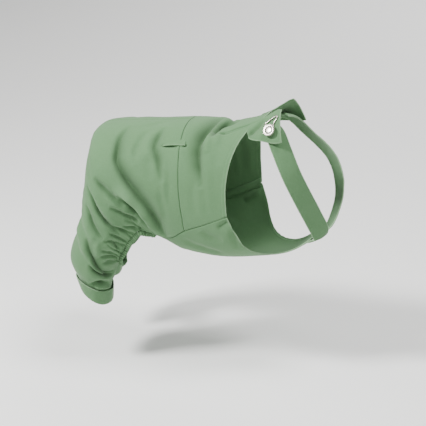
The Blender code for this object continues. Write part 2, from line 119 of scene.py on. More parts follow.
def skin(place, angle, side=right, grow=0.0):
    # The point on the worn form, or as far outside it as grow says
    place, angle, grow = np.broadcast_arrays(np.asarray(place, float), np.asarray(angle, float), grow)
    topX, topZ, lowX, lowZ, middle, outer = np.moveaxis(readTable(ringRows, place), -1, 0)
    middle = np.maximum(middle, 0)
    upX, upZ = (topX - lowX) / 2, (topZ - lowZ) / 2
    longer = 1 + grow / np.hypot(upX, upZ)
    turn = np.radians(angle)
    x = (topX + lowX) / 2 + upX * longer * squared(np.cos(turn))
    z = (topZ + lowZ) / 2 + upZ * longer * squared(np.cos(turn))
    y = -middle - (outer - middle + grow) * squared(np.sin(turn))
    share = np.clip((place - ringAt["crotch"]) / (ringAt["cuffTop"] - ringAt["crotch"]), 0, 1.1)
    swing = np.radians(form["swing"][side]) * share
    dx, dz = x - form["knee"][0], z - form["knee"][1]
    x = form["knee"][0] + dx * np.cos(swing) - dz * np.sin(swing)
    z = form["knee"][1] + dx * np.sin(swing) + dz * np.cos(swing)
    back = rise(place - form["backFrom"], form["backFull"] - form["backFrom"])
    x = x - form["legBack"][side] * back * back * (3 - 2 * back)
    return np.stack([x, y * side, z], -1)


def unit(vectors):
    return vectors / np.maximum(np.linalg.norm(vectors, axis=-1, keepdims=True), 1e-9)


def gridNormals(grid, outwards):
    return unit(np.cross(np.gradient(grid, axis=0), np.gradient(grid, axis=1))) * outwards


def lengthsAlong(grid, axis):
    steps = np.linalg.norm(np.diff(grid, axis=axis), axis=-1)
    start = np.zeros_like(np.take(steps, [0], axis))
    return np.concatenate([start, np.cumsum(steps, axis=axis)], axis)


def edgeDistances(grid):
    # How far each point lies from the first row, the last row, the first column and the last column
    down, over = lengthsAlong(grid, 0), lengthsAlong(grid, 1)
    return down, down[-1:] - down, over, over[:, -1:] - over


def fineSteps(length, fineEnd=True):
    # Shares from 0 to 1, closer together near an edge that has a seam or hem
    fine = np.arange(0, min(cloth["fineReach"], 0.4 * length), cloth["fineStep"])
    high = length - fine[::-1] if fineEnd else np.array([float(length)])
    count = max(int((high[0] - fine[-1]) / cloth["step"]), 2)
    return np.concatenate([fine, np.linspace(fine[-1], high[0], count + 1)[1:-1], high]) / length


def spacedPlaces(start, end, angle, samples=400, fineEnd=True):
    # The same steps as places along the form, measured at this angle
    rough = np.linspace(start, end, samples)
    lengths = lengthsAlong(skin(rough, angle), 0)
    return np.interp(fineSteps(lengths[-1], fineEnd) * lengths[-1], lengths, rough)


def softNoise(points, size, seed):
    flat = points.reshape(-1, 3) / size + seed
    return np.array([noise.noise(Vector(p)) for p in flat]).reshape(points.shape[:-1])


def lineNoise(values, size, seed):
    flat = np.asarray(values, float)
    return np.array([noise.noise(Vector((v / size, seed, 0.5))) for v in flat.ravel()]).reshape(flat.shape)


print("worn form ready")

# Folds: height, width above the line, width below it, lean, sharpness (2 is round, 1 is a crease), and the
# line of (place, angle) from its upper end
nearFolds = {
    "flankCrest": (7, 10, 2.8, 2.2, 1.8, [(6.86, 91), (6.62, 90.5), (6.42, 91.5), (6.22, 95), (6.03, 101),
        (5.9, 108), (5.8, 117), (5.73, 128), (5.7, 140)]),
    "crestUnder": (-8, 3, 5, 0, 1.4, [(6.78, 95), (6.56, 99), (6.36, 104), (6.2, 111), (6.05, 120), (5.96, 130),
        (5.94, 142)]),
    "crestHook": (-3.5, 3, 3, 0, 1.5, [(6.5, 103), (6.42, 108), (6.44, 114)]),
    "longValley": (-10, 9, 2.8, 0, 1.2, [(6.05, 14), (6.22, 32), (6.3, 49), (6.35, 61), (6.27, 75), (6.13, 84),
        (5.84, 93), (5.6, 101), (5.46, 112), (5.42, 124), (5.42, 138)]),
    "valleyShoulder": (1.8, 7, 7, 0, 2, [(5.8, 44), (5.86, 58), (5.8, 72), (5.5, 84), (5.2, 94), (5.1, 106)]),
    "pocketValley": (-6, 6, 2.8, 0, 1.3, [(4.82, 18), (4.98, 32), (5.04, 45), (4.93, 56), (4.85, 66),
        (4.78, 78)]),
    "pocketRidge": (1.4, 5, 5, 0, 2, [(5.1, 22), (5.28, 36), (5.3, 48), (5.16, 60)]),
    "rumpSmudge": (-2.2, 5.5, 4.5, 0, 2, [(5.43, 24), (5.6, 40), (5.73, 52), (5.73, 64)]),
    "sideSoftA": (-1.3, 5, 5, 0, 2, [(5.26, 52), (5.28, 64), (5.3, 77)]),
    "sideSoftB": (-1.3, 4.5, 4.5, 0, 2, [(4.44, 58), (4.48, 75), (4.6, 93)]),
    "sideSoftC": (-1.2, 4.5, 4.5, 0, 2, [(4.9, 80), (4.94, 93), (5.02, 110)]),
    "sideRidge": (1.1, 4, 4, 0, 2, [(4.66, 60), (4.68, 78), (4.78, 96)]),
    "thighCrease": (-7.5, 3.4, 2, 0, 1.15, [(8.56, 56), (8.5, 74), (8.53, 90), (8.44, 103), (8.3, 116),
        (8.21, 130)]),
    "thighRidge": (2.4, 4, 5, 1, 2, [(8.2, 62), (8.12, 80), (8.1, 94), (8.02, 108), (7.94, 122)]),
    "underCrestA": (-5.2, 4.5, 3.4, 0, 1.6, [(7.5, 70), (7.38, 80), (7.12, 90), (6.9, 98), (6.72, 104)]),
    "underCrestB": (-5.2, 4, 3, 0, 1.5, [(7.55, 98), (7.16, 110), (6.86, 118), (6.56, 124)]),
    "underRidge": (2, 4, 4, 0, 2, [(7.5, 88), (7.2, 99), (6.96, 108), (6.72, 115)]),
    "kneeValley": (-5.4, 4.2, 2.6, 0, 1.4, [(9.3, 62), (9.42, 74), (9.55, 84), (9.56, 96), (9.5, 110)]),
    "kneeLight": (2.2, 4, 5, 0, 2, [(9.95, 60), (10.1, 74), (10.2, 88), (10.3, 98)]),
    "rearLobe": (3.8, 5, 6, 0.8, 2, [(11.3, 28), (11.5, 42), (11.66, 60), (11.8, 77), (11.86, 91),
        (11.95, 107)]),
    "sagFront": (2.2, 4, 4, 0, 2, [(9.9, 100), (10.3, 104), (10.8, 110), (11.2, 118)]),
    "sagHigh": (-8, 3.8, 2.4, 0, 1.2, [(10.9, 80), (11.33, 88), (11.6, 97), (11.8, 110), (11.89, 123),
        (11.94, 145), (12.02, 164), (11.9, 184)]),
    "sagRoll": (3.6, 3.4, 3.4, 1.6, 2, [(12, 96), (12.12, 112), (12.16, 128), (12.18, 148), (12.2, 170)]),
    "sagLow": (-8, 2.8, 2.8, 0, 1.25, [(12.42, 100), (12.6, 116), (12.5, 138), (12.44, 160), (12.38, 182)]),
    "pleatA": (-4.2, 2.2, 1.5, 0, 1.3, [(11, 117), (10.43, 129), (10.13, 140), (10.02, 151), (10, 160)]),
    "pleatB": (-3.2, 2, 1.4, 0, 1.3, [(9.94, 124), (9.8, 134), (9.66, 145), (9.6, 156)]),
    "pleatC": (-4, 2.4, 1.6, 0, 1.3, [(9.74, 110), (9.22, 120), (9.12, 129), (9.3, 139), (9.38, 152)]),
    "pleatD": (-3.6, 2, 1.5, 0, 1.3, [(10.86, 134), (10.64, 146), (10.43, 159), (10.34, 174)]),
    "pleatE": (-4.2, 2, 1.5, 0, 1.3, [(8.2, 114), (7.98, 124), (7.74, 134), (7.58, 148)]),
    "pleatF": (-3.8, 2, 1.5, 0, 1.3, [(7.76, 121), (7.44, 129), (7.12, 135), (6.9, 146)]),
    "pleatG": (-3.2, 1.8, 1.4, 0, 1.3, [(8.86, 112), (8.66, 122), (8.5, 134), (8.44, 152)]),
    "pleatH": (-2.8, 1.8, 1.4, 0, 1.3, [(9.06, 128), (8.9, 137), (8.84, 154)]),
    "pleatI": (-3.2, 1.8, 1.4, 0, 1.3, [(10.3, 110), (10.04, 124), (9.9, 138), (9.86, 158)]),
    "pleatJ": (-2.8, 1.8, 1.4, 0, 1.3, [(7.24, 118), (7, 128), (6.76, 144)]),
    "pleatK": (-3.2, 1.8, 1.4, 0, 1.3, [(11.3, 130), (10.94, 144), (10.74, 160), (10.7, 182)]),
    "slit": (-3.5, 1.4, 1.4, 0, 1.3, [(4.86, 42.4), (4.6, 43.2), (4.3, 43.6), (3.9, 43.6), (3.7, 43.4)]),
    "tuckValley": (-6.5, 2.8, 2.2, 0, 1.25, [(14.7, 104), (14.4, 118), (14, 134), (13.9, 152), (14.1, 172)]),
    "tuckRoll": (3.8, 3, 3, 1.2, 2, [(14.95, 112), (14.6, 128), (14.5, 148), (14.7, 170), (14.9, 190)]),
}
# The same kinds of fold where the photograph doesn't reach: the inner leg, the rear and the low side
hiddenFolds = {
    "innerPleatA": (-4, 3.6, 2.6, 0, 1.4, [(11.6, 250), (12.2, 236), (12.6, 222), (12.9, 206)]),
    "innerPleatB": (-3.2, 3.5, 3, 0, 1.4, [(12, 214), (12.4, 204), (12.7, 194)]),
    "innerSag": (-5, 4, 3, 0, 1.3, [(13.1, 262), (13.3, 240), (13.4, 216), (13.2, 192)]),
    "innerRoll": (2.6, 4, 4, 0.8, 2, [(13.6, 258), (13.8, 236), (13.8, 212), (13.6, 196)]),
    "innerTuck": (-4.4, 2.8, 2.6, 0, 1.4, [(14.4, 268), (14.5, 246), (14.4, 224)]),
    "rearPleatA": (-3.6, 4, 3, 0, 1.5, [(11.9, -62), (12.2, -44), (12.3, -24), (12.2, -4)]),
    "rearPleatB": (-4.6, 3.6, 2.8, 0, 1.4, [(13.3, -70), (13.5, -48), (13.5, -24), (13.2, 2), (13, 22)]),
    "rearRoll": (2.4, 4, 4, 0.6, 2, [(12.8, -60), (12.9, -38), (12.8, -14), (12.5, 10)]),
    "rumpSoftA": (-1.4, 6, 5, 0, 2, [(7.2, 16), (7.5, 28), (7.8, 42), (8, 54)]),
    "rumpSoftB": (-1.3, 5, 5, 0, 2, [(8.9, 12), (9.2, 24), (9.4, 38)]),
    "backSoft": (-1, 6, 6, 0, 2, [(5, 4), (5.2, 12), (5.7, 18)]),
}
yokeGroove = (-5, 1.5, 1.5, 0, 1.3, [(2.7, 28), (2.44, 24.6), (1.94, 17.8), (1.38, 15.2), (0.98, 13.8),
                                     (0.6, 12)])
bodiceFolds = {
    "seamValley": (-9.5, 4.6, 7.5, 0, 1.4, [(2.96, -14), (3.1, 6), (3.24, 26), (3.32, 42), (3.3, 54),
        (3.22, 66), (3.1, 80)]),
    "seamRidge": (2.8, 6, 6, 0, 2, [(2.98, 20), (3.02, 36), (2.98, 50)]),
    "backValley": (-10.5, 4, 5.5, 0, 1.35, [(2.3, -16), (2.42, -4), (2.6, 3), (2.76, 12), (2.85, 22),
        (2.9, 33)]),
    "backRidge": (1.8, 5, 5, 0, 2, [(2.62, 20), (2.68, 30), (2.66, 42)]),
    "softA": (-1, 5, 5, 0, 2, [(3.38, 72), (3.46, 88), (3.38, 99)]),
    "softB": (-1.2, 6, 6, 0, 2, [(2.55, 42), (2.62, 64), (2.66, 82), (2.54, 95)]),
    "softC": (-0.9, 5, 5, 0, 2, [(3, 66), (3.02, 82), (2.96, 98)]),
    "yokeGroove": yokeGroove,
    "slit": (-3, 1.4, 1.4, 0, 1.3, [(4.3, 43.6), (4, 43.6), (3.84, 43.3), (3.7, 42.4)]),
    "armholeSoft": (-1.1, 4, 5, 0, 2, [(2.34, 60), (2.4, 76), (2.42, 92)]),
}
bodiceFoldsFar = {
    "yokeGroove": yokeGroove,
    "seamValley": (-5.5, 5, 4.6, 0, 1.5, [(3.3, 12), (3.38, 28), (3.4, 46), (3.3, 60)]),
    "backValley": (-5, 4.5, 5, 0, 1.5, [(2.5, 8), (2.72, 18), (2.84, 32), (2.8, 44)]),
    "softA": (-1.3, 5, 6, 0, 2, [(3.1, 56), (3.2, 76), (3.1, 94)]),
    "softB": (-1.3, 6, 6, 0, 2, [(2.7, 56), (2.6, 74), (2.66, 92)]),
    "softC": (-1.1, 5, 5, 0, 2, [(3.62, 48), (3.66, 70), (3.56, 90)]),
}
bellyFolds = {
    "cornerA": (-2.8, 4, 4, 0, 1.5, [(2.16, 101), (2.35, 104), (2.6, 109)]),
    "cornerB": (-2.4, 4.5, 4.5, 0, 2, [(2.1, 110), (2.06, 120), (2.1, 134)]),
    "sideA": (-2.2, 6, 6, 0, 2, [(3.3, 112), (2.96, 119), (2.5, 122)]),
    "sideB": (-2.8, 7, 6, 0, 2, [(4.3, 124), (3.8, 134), (3.2, 140), (2.7, 146)]),
    "lowA": (-2.6, 7, 7, 0, 2, [(4.9, 150), (4.6, 168), (4.7, 190), (5, 206)]),
    "lowB": (-2.4, 8, 8, 0, 2, [(3.4, 158), (3.2, 176), (3.3, 200)]),
    "farA": (-2.6, 5, 4.5, 0, 1.5, [(2.2, 258), (2.5, 252), (2.9, 246)]),
    "farB": (-2.6, 6, 6, 0, 2, [(4.2, 236), (3.7, 226), (3.1, 216)]),
    "groin": (2.4, 6, 6, 0, 2, [(5.6, 158), (5.5, 180), (5.6, 202)]),
}
tabFolds = {
    "turnValley": (-6, 2.2, 5.5, 0, 1.25, [(1.66, 35), (1.5, 32), (1.34, 29.4), (1.17, 26), (1.04, 21.5),
        (0.96, 17.5)]),
    "turnRidge": (1.3, 3.5, 3.5, 0, 2, [(1.04, 42), (0.86, 37), (0.66, 31)]),
}
# the last four settings are for the painted fold shade: its narrowness, the sharpness below which a fold counts
# as a crease, the share a soft fold gets, and the height that gives full shade
foldShape = {"endFade": 0.38, "taper": 0.25, "uneven": 0.28, "reach": 2.6, "round": 0.35, "density": 14,
             "shadeWidth": 1.35, "creasePower": 1.7, "softShade": 0.4, "fullShade": 6.0}


def foldGrid(grid, normals, folds, side=right, shift=(0, 0), scale=1.0):
    # Moves the points out where a ridge runs, and in where a trough does; lean drags a crest over its low side.
    # It also returns a tone of painted shade along the troughs and painted highlight along the ridges
    moved, tone = np.zeros_like(grid), np.zeros(grid.shape[:2])
    for number, (height, above, below, lean, power, line) in enumerate(folds.values()):
        knots = np.array(line, float) + shift
        dense = np.linspace(0, len(knots) - 1, foldShape["density"] * len(knots))
        place, angle = readTable(np.column_stack([np.arange(len(knots)), knots]), dense).T
        path = skin(place, angle, side)
        outward = skin(place, angle, side, 1.0) - path
        across = unit(np.cross(unit(np.gradient(path, axis=0)), outward)) * side
        share = dense / dense[-1]
        fade = rise(np.minimum(share, 1 - share), foldShape["endFade"])
        fade = fade * (2 - fade)
        taper = 1 - foldShape["taper"] + foldShape["taper"] * fade
        fade *= 1 + foldShape["uneven"] * lineNoise(share * 6, 1.0, number * 3.1 + side)
        reach = foldShape["reach"] * max(above, below)
        near = ((grid > path.min(0) - reach) & (grid < path.max(0) + reach)).all(-1)
        points = grid[near]
        if not len(points):
            continue
        gaps = points[:, None] - path[None]
        distance = np.linalg.norm(gaps, axis=-1)
        closest = distance.argmin(1)
        offset = gaps[np.arange(len(points)), closest]
        blend = 1 / (1 + np.exp(-(offset * across[closest]).sum(-1)))
        width = (above * (1 - blend) + below * blend) * taper[closest]
        away = np.hypot(distance.min(1), foldShape["round"]) - foldShape["round"]
        shape = np.exp(-((away / width) ** power)) * fade[closest] * scale
        moved[near] += normals[near] * (height * shape)[:, None] + across[closest] * (lean * shape)[:, None]
        # the tone is painted shade for the material, dark in a trough and pale on a ridge, and a sharp crease
        # has more of it
        narrow = np.exp(-away / width * foldShape["shadeWidth"]) * fade[closest]
        tone[near] += height * narrow * (
            1.0 if power < foldShape["creasePower"] else foldShape["softShade"]) * scale
    return moved, tone


def seamRoll(distance):
    # The edge of a sewn panel rolls in, which leaves the fine dark groove of a seam
    return -cloth["seamDepth"] * bell(distance, cloth["seamRoll"])


def seamWobble(edge, distance):
    # The waist seam isn't quite straight, the same way on both of its sides
    shifted = cloth["seamWobble"] * softNoise(edge, cloth["noiseSize"], 77.0)[None] * np.exp(-distance / 6)
    return shifted[..., None] * np.array([1.0, 0, 0])


def hemShape(distance, along, seed, width):
    # A turned hem: a second layer up to the stitching, which pulls the cloth in a little
    layer = 0.35 / (1 + np.exp((distance - width) * 2.2))
    pucker = 0.28 * lineNoise(along, 3.6, seed) * bell(distance - width * 0.6, 4.5)
    return layer - 0.4 * bell(distance - width, 0.8) + pucker


def edgeWear(*distances):
    return np.clip(1 - np.minimum.reduce(distances) / cloth["wearReach"], 0, 1)


def srgb(code):
    parts = [int(code[i:i + 2], 16) / 255 for i in (1, 3, 5)]
    return [p / 12.92 if p <= 0.04045 else ((p + 0.055) / 1.055) ** 2.4 for p in parts] + [1.0]


def newObject(name, verts, faces, material):
    mesh = bpy.data.meshes.new(name)
    mesh.from_pydata([tuple(v) for v in np.asarray(verts) * mm], [], [tuple(f) for f in faces])
    mesh.materials.append(material)
    mesh.shade_smooth()
    piece = bpy.data.objects.new(name, mesh)
    bpy.context.collection.objects.link(piece)
    return piece


def gridFaces(rows, columns, closedRound=False):
    i, j = np.meshgrid(np.arange(rows - 1), np.arange(columns if closedRound else columns - 1), indexing="ij")
    a, b = i * columns + j, i * columns + (j + 1) % columns
    return np.stack([a, a + columns, b + columns, b], -1).reshape(-1, 4)


def markMesh(piece, uv, **layers):
    # The weave's flat coordinates, and each point's values for the material
    corners = np.asarray([v for polygon in piece.data.polygons for v in polygon.vertices])
    flat = uv.reshape(-1, 2) * mm
    piece.data.uv_layers.new(name="weave").data.foreach_set("uv", flat[corners].ravel())
    for layer, values in layers.items():
        data = piece.data.attributes.new(layer, "FLOAT", "POINT").data
        data.foreach_set("value", values.ravel().astype(np.float32))


def finishPiece(piece, node=None):
    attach(piece, "root")
    if node:
        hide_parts(node)
    return piece


def clothPiece(name, node, grid, outs, wall, uv, wear, fold=None, closedRound=False, offset=-1):
    # outs point out of the garment; a grid that runs the other way round is turned over
    faceOuts = np.cross(np.diff(grid, axis=0)[:, :-1], np.diff(grid, axis=1)[:-1])
    # the fold values are painted shade where below zero and painted highlight where above, scaled here to -1..1
    fold = np.zeros(wear.shape) if fold is None else np.clip(fold / foldShape["fullShade"], -1, 1)
    if (faceOuts * outs[:-1, :-1]).sum() < 0:
        grid, uv, wear, fold = (values[:, ::-1] for values in (grid, uv, wear, fold))
    piece = newObject(name, grid.reshape(-1, 3), gridFaces(*grid.shape[:2], closedRound), cotton)
    markMesh(piece, uv, wear=wear, fold=fold)
    thick = piece.modifiers.new("wall", "SOLIDIFY")
    thick.thickness, thick.offset, thick.use_rim = wall * mm, offset, True
    return finishPiece(piece, node)


# A seam's allowances, pressed open behind it: across the seam, and how deep under the cloth
allowance = {"thickness": 0.8, "columns": [(-4, 1.8), (-0.9, 2.5), (0.9, 2.7), (3.5, 2.4), (7, 2.0)]}


def seamAllowance(name, node, edge, inside, normals):
    away = edge - inside
    away = unit(away - normals * (away * normals).sum(-1, keepdims=True))
    grid = np.stack([edge + away * across - normals * depth for across, depth in allowance["columns"]], 1)
    outs = np.broadcast_to(normals[:, None], grid.shape)
    uv = np.stack([lengthsAlong(grid, 0), lengthsAlong(grid, 1)], -1)
    return clothPiece(name, node, grid, outs, allowance["thickness"], uv, np.zeros(grid.shape[:2]))


# A short rounded stitch of thread: its rings along it, as share of half its length and of its radius
stitch = {"length": 2.2, "pitch": 3.0, "radius": 0.2, "dip": 0.35, "sides": 5,
          "rings": [(-1, 0.25), (-0.75, 0.85), (0, 1), (0.75, 0.85), (1, 0.25)]}
stitchRows = []


def stitchLine(points, normals):
    # Keeps a line on the cloth for buildStitches
    lengths = lengthsAlong(points, 0)
    rows = np.column_stack([lengths, points, normals])
    rows = rows[np.concatenate([[True], np.diff(lengths) > 1e-6])]
    count = int(rows[-1, 0] / stitch["pitch"])
    if count:
        stitchRows.append((rows, count))


def stitchBeside(grid, normals, rows, distance, wanted):
    # Along these rows, in the column that lies nearest to the wanted distance from an edge
    column = np.abs(distance[rows] - wanted).argmin(1)
    stitchLine(grid[rows, column], normals[rows, column])


def buildStitches(name):
    shares, sizes = np.array(stitch["rings"], float).T
    sides = stitch["sides"]
    turns = 2 * math.pi * np.arange(sides) / sides
    tube = np.roll(gridFaces(len(shares), sides, True)[:, ::-1], 1, axis=1)
    caps = [np.arange(sides)[::-1], (len(shares) - 1) * sides + np.arange(sides)]
    verts, faces = [], []
    for rows, count in stitchRows:
        for start in (np.arange(count) + 0.5) * rows[-1, 0] / count:
            at = start + shares * stitch["length"] / 2
            values = np.column_stack([np.interp(at, rows[:, 0], column) for column in rows[:, 1:].T])
            points, normals = values[:, :3], unit(values[:, 3:])
            middle = normals[len(shares) // 2]
            across = np.cross(unit(points[-1] - points[0]), middle)
            around = across * np.cos(turns)[:, None] + middle * np.sin(turns)[:, None]
            points = points - normals * (stitch["dip"] * np.abs(shares) ** 3)[:, None]
            rings = points[:, None] + around * (stitch["radius"] * sizes)[:, None, None]
            faces += [*(tube + len(verts)), *(cap + len(verts) for cap in caps)]
            verts += [*rings.reshape(-1, 3)]
    stitchRows.clear()
    finishPiece(newObject(name, verts, faces, threadLook))


def addNode(tree, kind, settings=None, **links):
    node = tree.nodes.new("ShaderNode" + kind)
    for key, value in (settings or {}).items():
        if key[0].isupper():
            node.inputs[key].default_value = value
        else:
            setattr(node, key, value)
    for key, source in links.items():
        tree.links.new(source, node.inputs[key])
    return node


def pattern(tree, kind, place, stretch=None, **settings):
    # How strong a texture is at each place; an underscore in a socket's name stands for a space
    if stretch:
        place = addNode(tree, "Mapping", {"Scale": stretch}, Vector=place).outputs[0]
    settings = {key.replace("_", " ") if key[0].isupper() else key: value for key, value in settings.items()}
    return addNode(tree, kind, settings, Vector=place).outputs["Fac"]


def objectPlace(tree):
    return addNode(tree, "TexCoord").outputs["Object"]


def calculate(tree, operation, *terms, clamp=False):
    # Each term is a number or another node's output
    node = addNode(tree, "Math", {"operation": operation, "use_clamp": clamp})
    for socket, term in zip(node.inputs, terms):
        if isinstance(term, float):
            socket.default_value = term
        else:
            tree.links.new(term, socket)
    return node.outputs[0]


def mixTowards(tree, share, colour, code):
    node = addNode(tree, "Mix", {"data_type": "RGBA"})
    tree.links.new(share, node.inputs[0])
    tree.links.new(colour, node.inputs[6])
    node.inputs[7].default_value = srgb(code)
    return node.outputs[2]


def twoTone(tree, share, codes, places=(0, 1)):
    ramp = addNode(tree, "ValToRGB", Fac=share)
    for element, code, place in zip(ramp.color_ramp.elements, codes, places):
        element.color, element.position = srgb(code), place
    return ramp.outputs["Color"]


def addBump(tree, shader, height, strength, distance):
    bump = addNode(tree, "Bump", {"Strength": strength, "Distance": distance}, Height=height)
    tree.links.new(bump.outputs["Normal"], shader.inputs["Normal"])


def startMaterial(name, **settings):
    material = bpy.data.materials.new(name)
    material.use_nodes = True
    shader = material.node_tree.nodes["Principled BSDF"]
    for key, value in settings.items():
        shader.inputs[key.replace("_", " ")].default_value = value
    return material, material.node_tree, shader


# Plain-woven cotton, garment-dyed: matt, with a faint slub and paler, worn edges on the hems
# trough and deep give the painted shade in the fold troughs, ridge the painted highlight on the fold ridges;
# edge is also the paler colour of worn hems
cottonLook = {"dark": "#4a6e48", "light": "#5f845d", "toneFrom": 0.3, "toneTo": 0.8, "edge": "#86a681",
              "deep": "#2c4529", "sheenTint": "#dfeadb", "thread": 0.8, "trough": 0.66, "ridge": 0.22,
              "wear": 0.75, "slub": 0.22, "dyeing": 0.14, "weave": 0.16, "slubRelief": 0.7,
              "slubScales": ((140, 1500, 1), (1500, 140, 1)), "waver": {"X": 1.6, "Y": 2.2},
              "waveAtOne": 314}


def makeCotton(name, look):
    material, tree, shader = startMaterial(
        name, Roughness=0.88, Sheen_Weight=0.18, Sheen_Roughness=0.5, Specular_IOR_Level=0.25,
        Sheen_Tint=srgb(look["sheenTint"]))
    flat = addNode(tree, "UVMap", {"uv_map": "weave"}).outputs[0]
    # threads are 0.35 mm apart in such a cloth, too fine to show, so they are drawn at the look's spacing; a
    # wave texture of scale 1 repeats after waveAtOne millimetres
    crossed = calculate(tree, "MULTIPLY", *(
        pattern(tree, "TexWave", flat, wave_type="BANDS", bands_direction=axis, Distortion=waver, Detail=1.5,
                Detail_Scale=3.0, Scale=look["waveAtOne"] / look["thread"])
        for axis, waver in look["waver"].items()))
    slub = calculate(tree, "ADD", *(
        pattern(tree, "TexNoise", flat, stretch, Scale=1.0, Detail=2.0) for stretch in look["slubScales"]))
    dyeing = pattern(tree, "TexNoise", objectPlace(tree), Scale=28.0, Detail=3.0)
    tone = calculate(tree, "MULTIPLY_ADD", slub, look["slub"], look["slub"])
    tone = calculate(tree, "MULTIPLY_ADD", dyeing, look["dyeing"], tone)
    tone = calculate(tree, "MULTIPLY_ADD", crossed, look["weave"], tone)
    colour = twoTone(tree, tone, (look["dark"], look["light"]), (look["toneFrom"], look["toneTo"]))
    # painted shade: the troughs of the folds are mixed towards the deep colour; painted highlight: the ridges
    # are mixed towards the edge colour
    wear, fold = [addNode(tree, "Attribute", {"attribute_name": layer}).outputs["Fac"]
                  for layer in ("wear", "fold")]
    trough = calculate(tree, "MULTIPLY", fold, -look["trough"], clamp=True)
    colour = mixTowards(tree, trough, colour, look["deep"])
    ridge = calculate(tree, "MULTIPLY", fold, look["ridge"], clamp=True)
    wearAndRidgeHighlight = calculate(tree, "MULTIPLY_ADD", wear, look["wear"], ridge, clamp=True)
    # the edge colour serves both the paler worn hems and the painted highlight on the fold ridges
    colour = mixTowards(tree, wearAndRidgeHighlight, colour, look["edge"])
    tree.links.new(colour, shader.inputs["Base Color"])
    relief = calculate(tree, "MULTIPLY_ADD", slub, look["slubRelief"], crossed)
    addBump(tree, shader, relief, 0.16, 0.0003)
    return material


cotton = makeCotton("sageCottonPlainWeave", cottonLook)

# Polyester sewing thread in the cloth's own shade: a little glossier than the cotton
threadLook, tree, shader = startMaterial("sageSewingThread", Roughness=0.55)
twist = pattern(tree, "TexNoise", objectPlace(tree), Scale=900.0)
tree.links.new(twoTone(tree, twist, ("#4a6e47", "#5c8158")), shader.inputs["Base Color"])

# Pressed and plated steel with a brushed nickel finish: greyish, softly glossy
nickel, tree, shader = startMaterial("brushedNickelPlate", Metallic=1.0, Roughness=0.3)
brushing = pattern(tree, "TexNoise", objectPlace(tree), (300, 300, 2600), Scale=1.0, Detail=3.0)
tree.links.new(twoTone(tree, brushing, ("#b4afa4", "#dad6cc")), shader.inputs["Base Color"])
addBump(tree, shader, brushing, 0.12, 0.0001)
print("materials ready")

# Trousers, whose gathers are rows of (pitch, reach), and the gathered elastic casings along them
trouser = {"hiddenScale": 0.9, "farScale": 0.85, "farShift": (0.12, -3), "gather": 2.6, "lowGathers": (5.6, 12),
           "topGathers": (4.0, 24), "flare": 3.0, "flareReach": 7, "noise": 0.45, "hem": 3.8, "hemPucker": 0.55,
           "hemPitch": 4.4, "round": 215, "backSeamEnd": 7.05, "legGap": 0.12,
           "flat": (0.24, 0.29), "area": 0.0477}
elastic = {"halfWidth": 3.5, "halfThickness": 1.8, "pitch": 2.9, "from": 6.08, "to": 8.9, "sides": 14,
           "perRib": 6, "tilt": -28, "overlap": 0.2, "smoothing": 4.0,
           "flat": {right: (0.0102, 0.3215), left: (0.0102, 0.33)}}


def trouserGrid(side):
    places = spacedPlaces(ringAt["waist"] + gapPlace, ringAt["cuffTop"] + 0.5, 70, fineEnd=False)
    onBody = places < ringAt["tailLow"]
    top = np.maximum(edgeAngle("trouserTop", places), np.where(onBody, 0, -90)) + np.where(onBody, gapTurn, 0)
    low = np.minimum(edgeAngle("trouserLow", places), 270)
    low = np.where(places <= ringAt["hip"], edgeAngle("bellySeam", places) - 1.5 * gapTurn, low)
    # below the crotch the leg goes all the way round
    onLeg = places >= ringAt["crotch"]
    top, low = np.where(onLeg, -90, top), np.where(onLeg, 270, low)
    return places, top[:, None] + (low - top)[:, None] * fineSteps(trouser["round"])[None]


def gathers(edge, fromEdge, pitch, reach, side):
    along = lengthsAlong(edge, 0)[:, None]
    phase = 2 * math.pi * along / pitch + 3.2 * lineNoise(along, 11, 4.0 + side)
    uneven = 0.7 + 1.1 * lineNoise(along, 5.5, 9.0 * side)
    reach = reach * np.clip(0.75 + 1.3 * lineNoise(along, 7.0, 2.0 * side), 0.3, 1.6)
    crimp = 1 - 2 * np.abs(np.sin(phase / 2)) ** 0.8
    return -crimp * uneven * np.exp(-((fromEdge / reach) ** 1.3)) * np.clip(fromEdge / 1.5, 0.4, 1)


